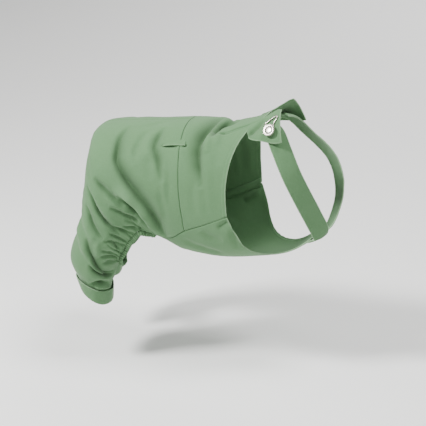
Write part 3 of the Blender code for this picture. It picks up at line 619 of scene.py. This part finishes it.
def buildTrouser(side):
    places, angles = trouserGrid(side)
    placeGrid = np.broadcast_to(places[:, None], angles.shape)
    base = skin(placeGrid, angles, side)
    normals = gridNormals(base, side)
    fromWaist, _, fromTop, fromLow = edgeDistances(base)
    onHip, onHem = placeGrid < ringAt["hip"] + 0.05, placeGrid < elastic["to"]
    # folds fade out at the seams, at the edges that the elastic holds, and under the cuff
    sewn = rise(fromWaist, 7) * rise(ringAt["cuffTop"] + 0.15 - placeGrid, 0.5)
    held = np.clip(fromTop / 6 + 0.1, 0, 1) * np.clip(fromLow / 3 + 0.3, 0, 1)
    held = np.where(onHip, rise(fromLow, 6) * held, held)
    openRows = placeGrid < ringAt["crotch"]
    sewn = sewn * np.where(openRows, held, 1)
    shift, scale = ((0, 0), 1.0) if side == right else (trouser["farShift"], trouser["farScale"])
    moved, fold = foldGrid(base, normals, nearFolds, side, shift, scale)
    hiddenMoved, hiddenFoldShade = foldGrid(base, normals, hiddenFolds, side, shift, trouser["hiddenScale"])
    moved = (moved + hiddenMoved) * sewn[..., None]
    # gathers fan out from the elastic
    lift = np.zeros(angles.shape)
    for fromEdge, column, rows, spread in ((fromLow, -1, placeGrid > elastic["from"], trouser["lowGathers"]),
                                           (fromTop, 0, placeGrid > elastic["to"], trouser["topGathers"])):
        wave = gathers(base[:, column], fromEdge, *spread, side)
        lift += np.where(rows & openRows, trouser["gather"] * wave, 0)
    # painted shade in the troughs of the folds and gathers, and painted highlight on their crests
    fold = (fold + hiddenFoldShade) * sewn + 1.3 * lift
    # puckered hem from the tail base to the elastic
    alongTop = lengthsAlong(base[:, 0], 0)[:, None]
    hem = hemShape(fromTop, alongTop + 0 * fromTop, 3.0 + side, trouser["hem"])
    phase = 2 * math.pi * alongTop / trouser["hemPitch"] + 2 * lineNoise(alongTop, 7, 1.0)
    hem += trouser["hemPucker"] * np.sin(phase) * np.exp(-fromTop / 4.5)
    lift += np.where((placeGrid > 7.4) & onHem, hem, 0)
    lift += np.where(onHip, seamRoll(fromLow), 0) + seamRoll(fromWaist)
    lift += np.where(placeGrid < 8.1, seamRoll(fromTop), 0)
    lift += trouser["noise"] * softNoise(base, cloth["noiseSize"], 5.0 * side) * sewn
    flared = rise(placeGrid - 6.1, 0.8) * rise(12 - placeGrid, 1.5)
    lift += trouser["flare"] * flared * np.exp(-fromLow / trouser["flareReach"])
    grid = base + moved + normals * lift[..., None] + seamWobble(base[0], fromWaist)
    # nothing crosses the plane between the legs
    crossing = grid[..., 1] * side > -trouser["legGap"]
    grid[..., 1] = np.where(crossing, -trouser["legGap"] * side, grid[..., 1])
    uv = np.stack([fromWaist.mean(1)[:, None] + 0 * fromTop, fromTop], -1)
    wear = np.where((placeGrid > 7.2) & onHem, edgeWear(fromTop), 0)
    outs = gridNormals(grid, side)
    piece = clothPiece(f"trouserCloth_{sideNames[side]}", f"trouser_{sideNames[side]}", grid, outs,
                       cloth["wall"], uv, wear, fold)
    pressed = []
    if side == right:
        back = places < trouser["backSeamEnd"]
        pressed = [seamAllowance("backSeamAllowance", "trouser_right", base[back, 0],
                                 base[back, cloth["insideStep"]], normals[back, 0])]
    # stitching beside the belly seam and round the hem of the tail opening
    hips, tail = [np.where(rows)[0] for rows in (
        places < ringAt["hip"], (places > 7.0) & (places < elastic["to"]))]
    for rows, distance, wanted in ((hips, fromLow[len(hips) // 2], 3.0),
                                   (tail, fromTop[tail[len(tail) // 2]], trouser["hem"])):
        column = nearest(distance, wanted)
        stitchLine(grid[rows, column], outs[rows, column])
    return places, grid, outs


def buildElastic(side, places, grid, normals):
    crotch = nearest(places, ringAt["crotch"])
    lowRows = [k for k in range(crotch + 1) if places[k] > elastic["from"]]
    highRows = [k for k in range(crotch - 1, -1, -1) if places[k] > elastic["to"]]
    rim = np.concatenate([grid[lowRows, -1], grid[highRows, 0]])
    outs = np.concatenate([normals[lowRows, -1], normals[highRows, 0]])
    away = unit(np.cross(unit(np.gradient(rim, axis=0)), outs)) * -side
    centre = rim + away * (elastic["halfWidth"] - elastic["overlap"])
    lengths = lengthsAlong(centre, 0)
    keep = np.concatenate([[True], np.diff(lengths) > 0.02])
    smooth = np.column_stack([lengths, centre, outs])[keep]
    steps = round(lengths[-1] / elastic["pitch"]) * elastic["perRib"]
    at = np.linspace(0, lengths[-1], steps + 1)
    weights = bell(at[:, None] - smooth[None, :, 0], elastic["smoothing"])
    weights /= weights.sum(1, keepdims=True)
    centre, outs = weights @ smooth[:, 1:4], unit(weights @ smooth[:, 4:7])
    centre[0], centre[-1] = smooth[0, 1:4], smooth[-1, 1:4]
    tangent = unit(np.gradient(centre, axis=0))
    outs = unit(outs - tangent * (outs * tangent).sum(1, keepdims=True))
    # along the groin the band turns its face up
    tilt = np.radians(elastic["tilt"]) * rise(at, 12) * rise(0.52 - at / at[-1], 0.12)
    turned = outs * np.cos(tilt)[:, None] - np.cross(tangent, outs) * np.sin(tilt)[:, None] * side
    across = np.cross(tangent, turned)
    centre = centre + (np.cross(tangent, outs) - across) * elastic["halfWidth"] * side
    ribPhase = at / elastic["pitch"] + 0.35 * lineNoise(at, 5, 2.0 * side)
    ridge = 1 - np.abs((ribPhase % 1) * 2 - 1) ** 1.6
    ridge = ridge * (0.8 + 0.5 * lineNoise(at, 2.9, 7.0 * side))
    turns = 2 * math.pi * (np.arange(elastic["sides"]) + 0.5) / elastic["sides"]
    wide = elastic["halfWidth"] * (0.93 + 0.12 * ridge)[:, None] * squared(np.cos(turns))[None]
    thick = elastic["halfThickness"] * (0.35 + 0.85 * ridge)[:, None] * squared(np.sin(turns))[None]
    thick = thick - elastic["halfThickness"] * 0.5
    tube = centre[:, None] + across[:, None] * wide[..., None] + turned[:, None] * thick[..., None]
    end = np.arange(elastic["sides"])
    faces = [*gridFaces(steps + 1, len(end), True), end, steps * len(end) + end[::-1]]
    piece = newObject(f"legElastic_{sideNames[side]}", tube.reshape(-1, 3), faces, cotton)
    uv = np.stack([np.broadcast_to(at[:, None], wide.shape), wide], -1)
    # painted shade between the elastic's ribs and painted highlight on their tops
    markMesh(piece, uv, fold=np.broadcast_to((1.3 * ridge - 0.9)[:, None], wide.shape))
    bpy.context.view_layer.objects.active = piece
    piece.select_set(True)
    bpy.ops.object.mode_set(mode="EDIT")
    bpy.ops.mesh.select_all(action="SELECT")
    bpy.ops.mesh.normals_make_consistent(inside=False)
    bpy.ops.object.mode_set(mode="OBJECT")
    piece.select_set(False)
    finishPiece(piece, f"leg_elastic_{sideNames[side]}")


for side in bothSides:
    buildElastic(side, *buildTrouser(side))
buildStitches("stitching_trousers")
print("trousers and elastics ready")

# Cuffs turned up round the hind legs, from the inside round the low edge and up: place, grow
cuff = {"wall": 1.1, "profile": [(15.52, -1.5), (15.9, -1.2), (15.95, -0.6), (16.0, 0.5), (15.93, 1.7),
                                 (15.6, 2.3), (15.2, 2.5), (15.0, 2.3)],
        "stations": 46, "round": 150, "wave": 0.7, "frontEdge": 1.3, "frontAngle": 184, "lowEdge": 3.0,
        "flat": (0.152, 0.03), "area": 0.00435}


def buildCuff(side):
    stations = np.linspace(0, len(cuff["profile"]) - 1, cuff["stations"])[:, None]
    rows = readTable([(k, *row) for k, row in enumerate(cuff["profile"])], stations[:, 0])
    angles = np.linspace(0, 360, cuff["round"], endpoint=False)[None]
    spread = np.ones((cuff["stations"], cuff["round"]))
    turn = np.radians(angles)
    outer = np.clip((stations / stations[-1] - 0.45) * 2.4, 0, 1)
    ripple = lineNoise(np.cos(turn) * 60 + 40, 24, 2.0 + side) + lineNoise(np.sin(turn) * 60, 20, 6.0 + side)
    crease = bell((angles - cuff["frontAngle"] + 180) % 360 - 180, 7)
    grow = rows[:, 1:2] + cuff["wave"] * ripple * outer + cuff["frontEdge"] * crease * outer
    place = rows[:, :1] * spread
    place -= 0.05 * ripple * outer * (place < 15.5)
    grid = skin(place, angles * spread, side, grow)
    uv = np.stack([stations * 6.5 * spread, angles * 0.5 * spread], -1)
    wear = np.clip((stations - stations[-1] + 0.25) / 0.25, 0, 1)
    wear = np.maximum(wear, 0.8 * bell(stations - cuff["lowEdge"], 0.35) * spread)
    wear = np.maximum(wear, crease ** 3 * outer)
    piece = clothPiece(f"turnedCuff_{sideNames[side]}", f"cuff_{sideNames[side]}", grid,
                       gridNormals(grid, side), cuff["wall"], uv, wear, closedRound=True, offset=0)


for side in bothSides:
    buildCuff(side)
print("cuffs ready")

# Bodice, in one piece over the back
bodice = {"creasePlace": 2.45, "creaseDepth": 3.2, "creaseWidth": 0.2, "creaseReach": 34, "noise": 0.3,
          "hem": 6.0, "seamStitches": 2.6, "length": 92, "round": 330, "flat": (0.325, 0.108), "area": 0.0241}


def buildBodice():
    columns = fineSteps(bodice["round"]) * 2 - 1
    front = readTable([(angle, place) for place, angle in edges["bodiceFront"]], np.abs(columns) * 100)[:, 0]
    start = ringAt["waist"] - gapPlace
    place = start + (front - start)[None] * fineSteps(bodice["length"])[:, None]
    base = skin(place, columns[None] * (edgeAngle("bellySeam", place) - gapTurn))
    crease = bell(place - bodice["creasePlace"], bodice["creaseWidth"])
    crease = crease * bell(base[..., 1], bodice["creaseReach"])
    base[..., 2] -= bodice["creaseDepth"] * crease
    normals = gridNormals(base, -1)
    fromWaist, fromFront, fromLeft, fromRight = edgeDistances(base)
    held = rise(fromWaist, 6) * np.clip(fromFront / 10 + 0.2, 0, 1) * rise(fromLeft, 8) * rise(fromRight, 8)
    # the fold tones are painted shade in the troughs and painted highlight on the ridges
    moved, fold = foldGrid(base, normals, bodiceFolds, right)
    farMoved, farFoldShade = foldGrid(base, normals, bodiceFoldsFar, left)
    moved, fold = (moved + farMoved) * held[..., None], (fold + farFoldShade) * held
    lift = hemShape(fromFront, fromLeft, 11.0, bodice["hem"])
    lift += seamRoll(fromWaist) + seamRoll(fromLeft) + seamRoll(fromRight)
    lift += bodice["noise"] * softNoise(base, cloth["noiseSize"], 8.0) * held
    grid = base + moved + normals * lift[..., None] + seamWobble(base[0], fromWaist)
    uv = np.stack([fromWaist, fromLeft.mean(0)[None] + 0 * fromWaist], -1)
    outs = gridNormals(grid, -1)
    piece = clothPiece("bodiceCloth", "bodice", grid, outs, cloth["wall"], uv, edgeWear(fromFront), fold)
    pressed = seamAllowance("waistSeamAllowance", "bodice", base[0], base[cloth["insideStep"]], normals[0])
    row = nearest(fromWaist[:, 40], bodice["seamStitches"])
    stitchLine(grid[row], outs[row])
    stitchBeside(grid.swapaxes(0, 1), outs.swapaxes(0, 1), np.arange(grid.shape[1]), fromFront.T, bodice["hem"])
    for fromSide in (fromLeft, fromRight):
        stitchBeside(grid, outs, np.arange(grid.shape[0]), fromSide, bodice["seamStitches"])


buildBodice()
print("bodice ready")

# Belly panel, with a notch towards the groin
belly = {"noise": 0.3, "hem": 5.0, "notch": 0.45, "notchFrom": 5.4, "round": 160, "flat": (0.229, 0.23),
         "area": 0.026}


def buildBelly():
    corner = edges["bellySeam"][0][0]
    places = spacedPlaces(ringAt["hip"] - 0.02, 0.12, 150)
    first = np.where(places >= corner, edgeAngle("bellySeam", places), edgeAngle("armholeLow", places))
    first = first + gapTurn
    angle = first[:, None] + (360 - 2 * first)[:, None] * fineSteps(belly["round"])[None]
    middleShare = 1 - np.abs(angle - 180) / (180 - first)[:, None]
    notch = belly["notch"] * middleShare * np.clip(places - belly["notchFrom"], 0, None)[:, None] / 0.6
    base = skin(places[:, None] - notch, angle)
    normals = gridNormals(base, -1)
    fromGroin, fromNeck, fromRight, fromLeft = edgeDistances(base)
    sewnRows = np.broadcast_to(places[:, None] >= corner, angle.shape)
    held = rise(fromRight, 8) * rise(fromLeft, 8)
    held = np.where(sewnRows, held, np.clip(held + 0.3, 0, 1)) * np.clip(fromGroin / 6 + 0.2, 0, 1)
    # the fold tone is painted shade in the troughs and painted highlight on the ridges
    moved, fold = foldGrid(base, normals, bellyFolds, right)
    nearSide = np.minimum(fromRight, fromLeft)
    lift = np.where(sewnRows, seamRoll(nearSide), hemShape(nearSide, fromGroin, 21.0, belly["hem"]))
    lift += hemShape(fromGroin, fromRight, 24.0, 5.0)
    lift += belly["noise"] * softNoise(base, cloth["noiseSize"], 12.0) * held
    grid = base + moved * held[..., None] + normals * lift[..., None]
    uv = np.stack([fromGroin.mean(1)[:, None] + 0 * fromRight, fromRight], -1)
    wear = np.where(sewnRows, edgeWear(fromGroin), edgeWear(nearSide, fromGroin, fromNeck))
    outs = gridNormals(grid, -1)
    piece = clothPiece("bellyCloth", "belly_panel", grid, outs, cloth["wall"], uv, wear, fold * held)
    sewn = places >= corner
    pressed = [seamAllowance(f"bellySeamAllowance_{name}", "belly_panel", base[sewn, edge], base[sewn, inside],
                             normals[sewn, edge])
               for name, edge, inside in (("right", 0, cloth["insideStep"]),
                                          ("left", -1, -cloth["insideStep"] - 1))]
    for fromSide in (fromRight, fromLeft):
        stitchBeside(grid, outs, np.where(places < corner)[0], fromSide, belly["hem"])
    row = nearest(fromGroin[:, 60], belly["hem"])
    stitchLine(grid[row], outs[row])


buildBelly()
buildStitches("stitching_body")
print("belly panel ready")

# Shoulder tabs, stitched on the bodice
tab = {"thickness": 1.7, "lift": 0.35, "rear": 2.45, "front": 0.18, "hem": 2.6, "curl": 1.2, "round": 38,
       "flat": (0.0885, 0.0485), "area": 0.00215}


def buildTab(side):
    places = spacedPlaces(tab["rear"], tab["front"], 35, samples=200)
    upper, lower = edgeAngle("tabUpper", places), edgeAngle("tabLower", places)
    shares = fineSteps(tab["round"])
    angle = upper[:, None] + (lower - upper)[:, None] * shares[None]
    base = skin(places[:, None], angle, side, tab["lift"] + tab["thickness"])
    normals = gridNormals(base, -side)
    fromRear, fromFront, fromUpper, fromLower = edgeDistances(base)
    nearEdge = np.minimum.reduce([fromUpper, fromLower, fromFront])
    width = fromUpper[:, -1:]
    wide = rise(width, 12)
    lift = -0.35 * bell(nearEdge - tab["hem"], 0.7) * wide - 0.45 * bell(nearEdge, 0.6)
    lift += 0.35 * softNoise(base, 9, 31.0 * side) * wide
    lift += tab["curl"] * np.exp(-fromFront / 5) * (shares[None] - 0.35)
    # its narrow rear end is let into the bodice along the lower edge
    lift -= (1 - rise(width - 11, 8)) * (1.1 + 1.5 * shares[None] ** 0.6) + 2.0 * bell(fromRear, 9)
    # the fold tone is painted shade in the turn's trough and painted highlight on its ridge
    moved, fold = foldGrid(base, normals, tabFolds, side)
    grid = base + moved * wide[..., None] + normals * lift[..., None]
    outs = gridNormals(grid, -side)
    piece = clothPiece(f"shoulderTab_{sideNames[side]}", f"shoulder_tab_{sideNames[side]}", grid, outs,
                       tab["thickness"], np.stack([fromRear, fromUpper], -1), edgeWear(fromLower, fromFront),
                       fold * wide)
    for fromSide in (fromUpper, fromLower):
        stitchBeside(grid, outs, np.where(width[:, 0] > 8)[0], fromSide, tab["hem"])
    row = nearest(fromFront[:, 20], tab["hem"])
    stitchLine(grid[row, 6:-6], outs[row, 6:-6])


for side in bothSides:
    buildTab(side)
print("shoulder tabs ready")

# Straps from under the tabs to the belly panel; top and end are place, angle, grow, and crown is key, drop
strap = {"width": 25, "thickness": 1.8, "hem": 2.4, "flatLength": {right: 0.187, left: 0.2}, "samples": 400,
         "axis": (20, 0, -70), "top": [(0.72, 27, -4.4), (0.45, 44, -4.8)],
         "end": [(0.0, 161, 4.4), (0.3, 166, 3.8)],
         "crown": [(0, 3.7), (0.2, 2.7), (0.4, 0.8), (0.8, 0.8), (1, 1.8)],
         "route": {right: [(41, 51, -20), (54, 54, -48), (68, 47, -80), (77, 33, -107)],
                   left: [(46, 53, -22), (74, 60, -52), (88, 54, -80), (92, 40, -106)]}}


def buildStrap(side):
    # the route is worked out on the left and mirrored for the right
    ends = {key: [tuple(skin(*row[:2], right, row[2]) * (1, -1, 1)) for row in strap[key]]
            for key in ("top", "end")}
    route = [(k, *point) for k, point in enumerate(ends["top"] + strap["route"][side] + ends["end"])]
    rough = np.linspace(0, len(route) - 1, strap["samples"])
    lengths = lengthsAlong(readTable(route, rough), 0)
    along = (fineSteps(lengths[-1]) * lengths[-1])[:, None]
    at = np.interp(along[:, 0], lengths, rough)
    centre = readTable(route, at)
    tangent = unit(readTable(route, at + 0.05) - readTable(route, at - 0.05))
    away = centre - np.array(strap["axis"], float)
    normal = unit(away - tangent * (away * tangent).sum(1, keepdims=True))
    across = np.cross(tangent, normal)
    columns = fineSteps(strap["width"]) * 2 - 1
    offset = (columns * strap["width"] / 2)[None]
    base = centre[:, None] + across[:, None] * offset[..., None]
    crown = readTable(strap["crown"], at / (len(route) - 1))
    base = base - normal[:, None] * (crown * columns[None] ** 2)[..., None]
    normals = np.broadcast_to(normal[:, None], base.shape)
    fromEdge = (1 - np.abs(columns))[None] * strap["width"] / 2
    nearEdge = np.minimum(fromEdge, lengths[-1] - along)
    lift = -0.3 * bell(nearEdge - strap["hem"], 0.6) - 0.4 * bell(nearEdge, 0.6)
    lift = lift + 0.35 * softNoise(base, 16, 41.0 * side) + 0.25 * softNoise(base, 7, 43.0)
    flip = np.array([1, -side, 1.0])
    grid, outs = (base + normals * lift[..., None]) * flip, normals * flip
    uv = np.stack([along + 0 * offset, offset + 0 * along], -1)
    piece = clothPiece(f"chestStrap_{sideNames[side]}", f"strap_{sideNames[side]}", grid, outs,
                       strap["thickness"], uv, edgeWear(nearEdge))
    for edge in (1, -1):
        column = nearest(columns, edge * (1 - 2 * strap["hem"] / strap["width"]))
        stitchLine(grid[:, column], outs[:, column])


for side in bothSides:
    buildStrap(side)
buildStitches("stitching_tabs_straps")
print("straps ready")

# Pocket welts, narrow bands across the waist seam that gape a little along their low edge
welt = {"rear": 4.73, "front": 3.78, "upper": 36.5, "lower": 43, "length": 30, "width": 9, "thickness": 1.1,
        "lift": 0.35, "gape": 1.0, "flat": 1.1, "sunk": 0.8, "stitches": 1.2, "flatSize": (0.0306, 0.0115)}


def buildWelt(side):
    place = (welt["front"] + (welt["rear"] - welt["front"]) * fineSteps(welt["length"]))[:, None]
    angle = (welt["upper"] + (welt["lower"] - welt["upper"]) * fineSteps(welt["width"]))[None]
    base = skin(place, angle, side, welt["lift"] + welt["thickness"])
    normals = gridNormals(base, side)
    fromFront, fromRear, fromUpper, fromLower = edgeDistances(base)
    ends = np.minimum(fromFront, fromRear)
    lift = -welt["flat"] - welt["sunk"] * np.exp(-fromUpper / 3) - welt["sunk"] * bell(fromRear, 7)
    lift += welt["gape"] * np.exp(-fromLower / 1.7) * rise(ends, 8) * (0.7 + 1.2 * lineNoise(fromFront, 7, 5.0))
    lift += 0.3 * softNoise(base, 8, 51.0 * side)
    shift = (0, 0) if side == right else trouser["farShift"]
    moved = foldGrid(base, normals, {"pocketValley": nearFolds["pocketValley"]}, side, shift)[0]
    grid = base + moved + normals * lift[..., None]
    outs = gridNormals(grid, side)
    piece = clothPiece(f"pocketWelt_{sideNames[side]}", f"pocket_welt_{sideNames[side]}", grid, outs,
                       welt["thickness"], np.stack([fromFront, fromUpper], -1), edgeWear(fromLower) * 0.5)
    row = nearest(ends[: len(place) // 2, 4], welt["stitches"])
    for end in (row, -1 - row):
        stitchLine(grid[end, 2:-2], outs[end, 2:-2])


for side in bothSides:
    buildWelt(side)
buildStitches("stitching_welts")
print("pocket welts ready")

# Metal buttons on the tabs, a pressed cap with a rolled rim on a stem, with loops of bent wire round the stem
button = {"radius": 7.5, "depth": 2.0, "rise": 6.4, "stemShare": 0.56, "clearance": 0.3, "shank": 2.2,
          "insets": [(1.3, -0.5), (0.9, 0.0), (0.5, 0.45), (1.7, 0.3), (1.4, 0.15)],
          "bevel": 0.35, "place": 0.55, "angle": 43.5}
buckle = {"wire": 0.9, "half": [(0, 16), (6, 16), (9, 15), (9.5, 11.5), (6, 8), (4.4, 4), (4.2, 0), (3, -3.4),
                                (0, -4.8)]}


def tabFrame(side):
    # The button's place on the tab, and the directions forwards, up and out there
    place, angle = button["place"], button["angle"]
    grow = tab["lift"] + tab["thickness"]
    front = unit(skin(place - 0.1, angle, side, grow) - skin(place + 0.1, angle, side, grow))
    up = unit(skin(place, angle - 4, side, grow) - skin(place, angle + 4, side, grow))
    out = unit(np.cross(front, up)) * side
    return skin(place, angle, side, grow), front, np.cross(out, front), out


def finishMetal(piece, name, node):
    piece.name = name
    piece.data.materials.clear()
    piece.data.materials.append(nickel)
    finishPiece(piece, node)


def buildButton(side):
    bpy.ops.object.select_all(action="DESELECT")
    bpy.ops.mesh.primitive_cylinder_add(vertices=64, radius=button["radius"] * mm, depth=button["depth"] * mm)
    piece = bpy.context.object
    bpy.ops.object.mode_set(mode="EDIT")
    for inset, push in button["insets"]:
        bpy.ops.mesh.select_all(action="DESELECT")
        bpy.ops.object.mode_set(mode="OBJECT")
        tops = [face for face in piece.data.polygons if face.normal.z > 0.9 and len(face.vertices) > 8]
        min(tops, key=lambda face: face.area).select = True
        bpy.ops.object.mode_set(mode="EDIT")
        bpy.ops.mesh.select_mode(type="FACE")
        bpy.ops.mesh.inset(thickness=inset * mm)
        bpy.ops.transform.translate(value=(0, 0, push * mm))
    bpy.ops.object.mode_set(mode="OBJECT")
    for polygon in piece.data.polygons:
        polygon.select = polygon.normal.z < -0.9
    stem = button["rise"] * button["stemShare"]
    bpy.ops.object.mode_set(mode="EDIT")
    bpy.ops.mesh.inset(thickness=(button["radius"] - button["shank"]) * mm)
    bpy.ops.mesh.extrude_region_move(TRANSFORM_OT_translate={"value": (0, 0, -stem * mm)})
    bpy.ops.object.mode_set(mode="OBJECT")
    soft = piece.modifiers.new("edges", "BEVEL")
    soft.width, soft.segments = button["bevel"] * mm, 3
    soft.limit_method, soft.angle_limit = "ANGLE", math.radians(40)
    bpy.ops.object.modifier_apply(modifier="edges")
    centre, front, up, out = tabFrame(side)
    place = Matrix([[*row] for row in np.column_stack([front, up, out])]).to_4x4()
    place.translation = Vector((centre + out * (stem + button["depth"] / 2 + button["clearance"])) * mm)
    piece.data.transform(place)
    piece.matrix_world = Matrix.Identity(4)
    bpy.ops.object.shade_smooth_by_angle(angle=math.radians(35))
    finishMetal(piece, f"overallButton_{sideNames[side]}", f"button_{sideNames[side]}")


def buildBuckle(side):
    place, angle = button["place"], button["angle"]
    perPlace = np.linalg.norm(skin(place + 0.1, angle) - skin(place, angle)) / 0.1
    perDegree = np.linalg.norm(skin(place, angle + 2) - skin(place, angle)) / 2
    outline = buckle["half"] + [(-f, u) for f, u in reversed(buckle["half"][1:-1])]
    grow = 2 * tab["lift"] + tab["thickness"] + buckle["wire"]
    bpy.ops.object.select_all(action="DESELECT")
    bpy.ops.curve.primitive_bezier_circle_add()
    wire = bpy.context.object
    spline = wire.data.splines[0]
    spline.bezier_points.add(len(outline) - len(spline.bezier_points))
    for knot, (forward, up) in zip(spline.bezier_points, outline):
        knot.co = Vector(skin(place - forward / perPlace, angle - up / perDegree, side, grow) * mm)
        knot.handle_left_type = knot.handle_right_type = "AUTO"
    wire.data.bevel_depth = buckle["wire"] * mm
    wire.data.bevel_resolution, wire.data.resolution_u, wire.data.dimensions = 5, 8, "3D"
    bpy.ops.object.convert(target="MESH")
    piece = bpy.context.object
    piece.data.transform(piece.matrix_world)
    piece.matrix_world = Matrix.Identity(4)
    bpy.ops.object.shade_smooth()
    finishMetal(piece, f"wireBuckle_{sideNames[side]}", f"buckle_{sideNames[side]}")


for side in bothSides:
    buildButton(side)
    buildBuckle(side)
print("buttons and buckles ready")

# Floor, light and camera. Each light is a place in metres, a size, a power and whether it points at the target;
# the last one hangs above the floor behind, so that the ground stays pale up to the picture's top
studio = {"floorZ": -330, "floorSize": 12, "floorCode": "#f6f6f4", "world": 0.24, "target": (-64, 0, -128),
          "azimuth": 19, "elevation": 19, "distance": 1800, "lens": 118.84, "lights": {
              "keyLight": ((-0.85, -0.75, 1.0), 0.3, 44, True), "topLight": ((0.55, -0.1, 1.6), 0.7, 28, True),
              "fillLight": ((1.3, -1.5, 0.5), 1.6, 9, True), "groundLight": ((0.6, 2.9, 1.8), 2.6, 95, False)}}


def buildStudio():
    bpy.ops.object.select_all(action="DESELECT")
    bpy.ops.mesh.primitive_plane_add(size=studio["floorSize"], location=(0, 0, studio["floorZ"] * mm))
    floor = bpy.context.object
    floor.name = "paleFloor"
    floorLook = startMaterial("paleStudioFloor", Roughness=0.9, Base_Color=srgb(studio["floorCode"]))[0]
    floor.data.materials.append(floorLook)
    world = bpy.data.worlds.new("paleStudio")
    bpy.context.scene.world = world
    world.use_nodes = True
    colour, strength = world.node_tree.nodes["Background"].inputs[:2]
    colour.default_value, strength.default_value = srgb("#ffffff"), studio["world"]
    target = Vector(studio["target"]) * mm
    for name, (where, size, power, aimed) in studio["lights"].items():
        bpy.ops.object.light_add(type="AREA", location=where)
        lamp = bpy.context.object
        lamp.name = name
        lamp.data.size, lamp.data.energy = size, power
        if aimed:
            lamp.rotation_euler = (target - Vector(where)).to_track_quat("-Z", "Y").to_euler()
    azimuth, elevation = math.radians(studio["azimuth"]), math.radians(studio["elevation"])
    back = Vector((math.sin(azimuth) * math.cos(elevation), -math.cos(azimuth) * math.cos(elevation),
                   math.sin(elevation)))
    bpy.ops.object.camera_add(location=(Vector(studio["target"]) + back * studio["distance"]) * mm)
    camera = bpy.context.object
    camera.data.lens, camera.data.sensor_width = studio["lens"], 36
    camera.rotation_euler = (-back).to_track_quat("-Z", "Y").to_euler()
    bpy.context.scene.camera = camera


buildStudio()
bpy.context.view_layer.update()
print("studio ready")
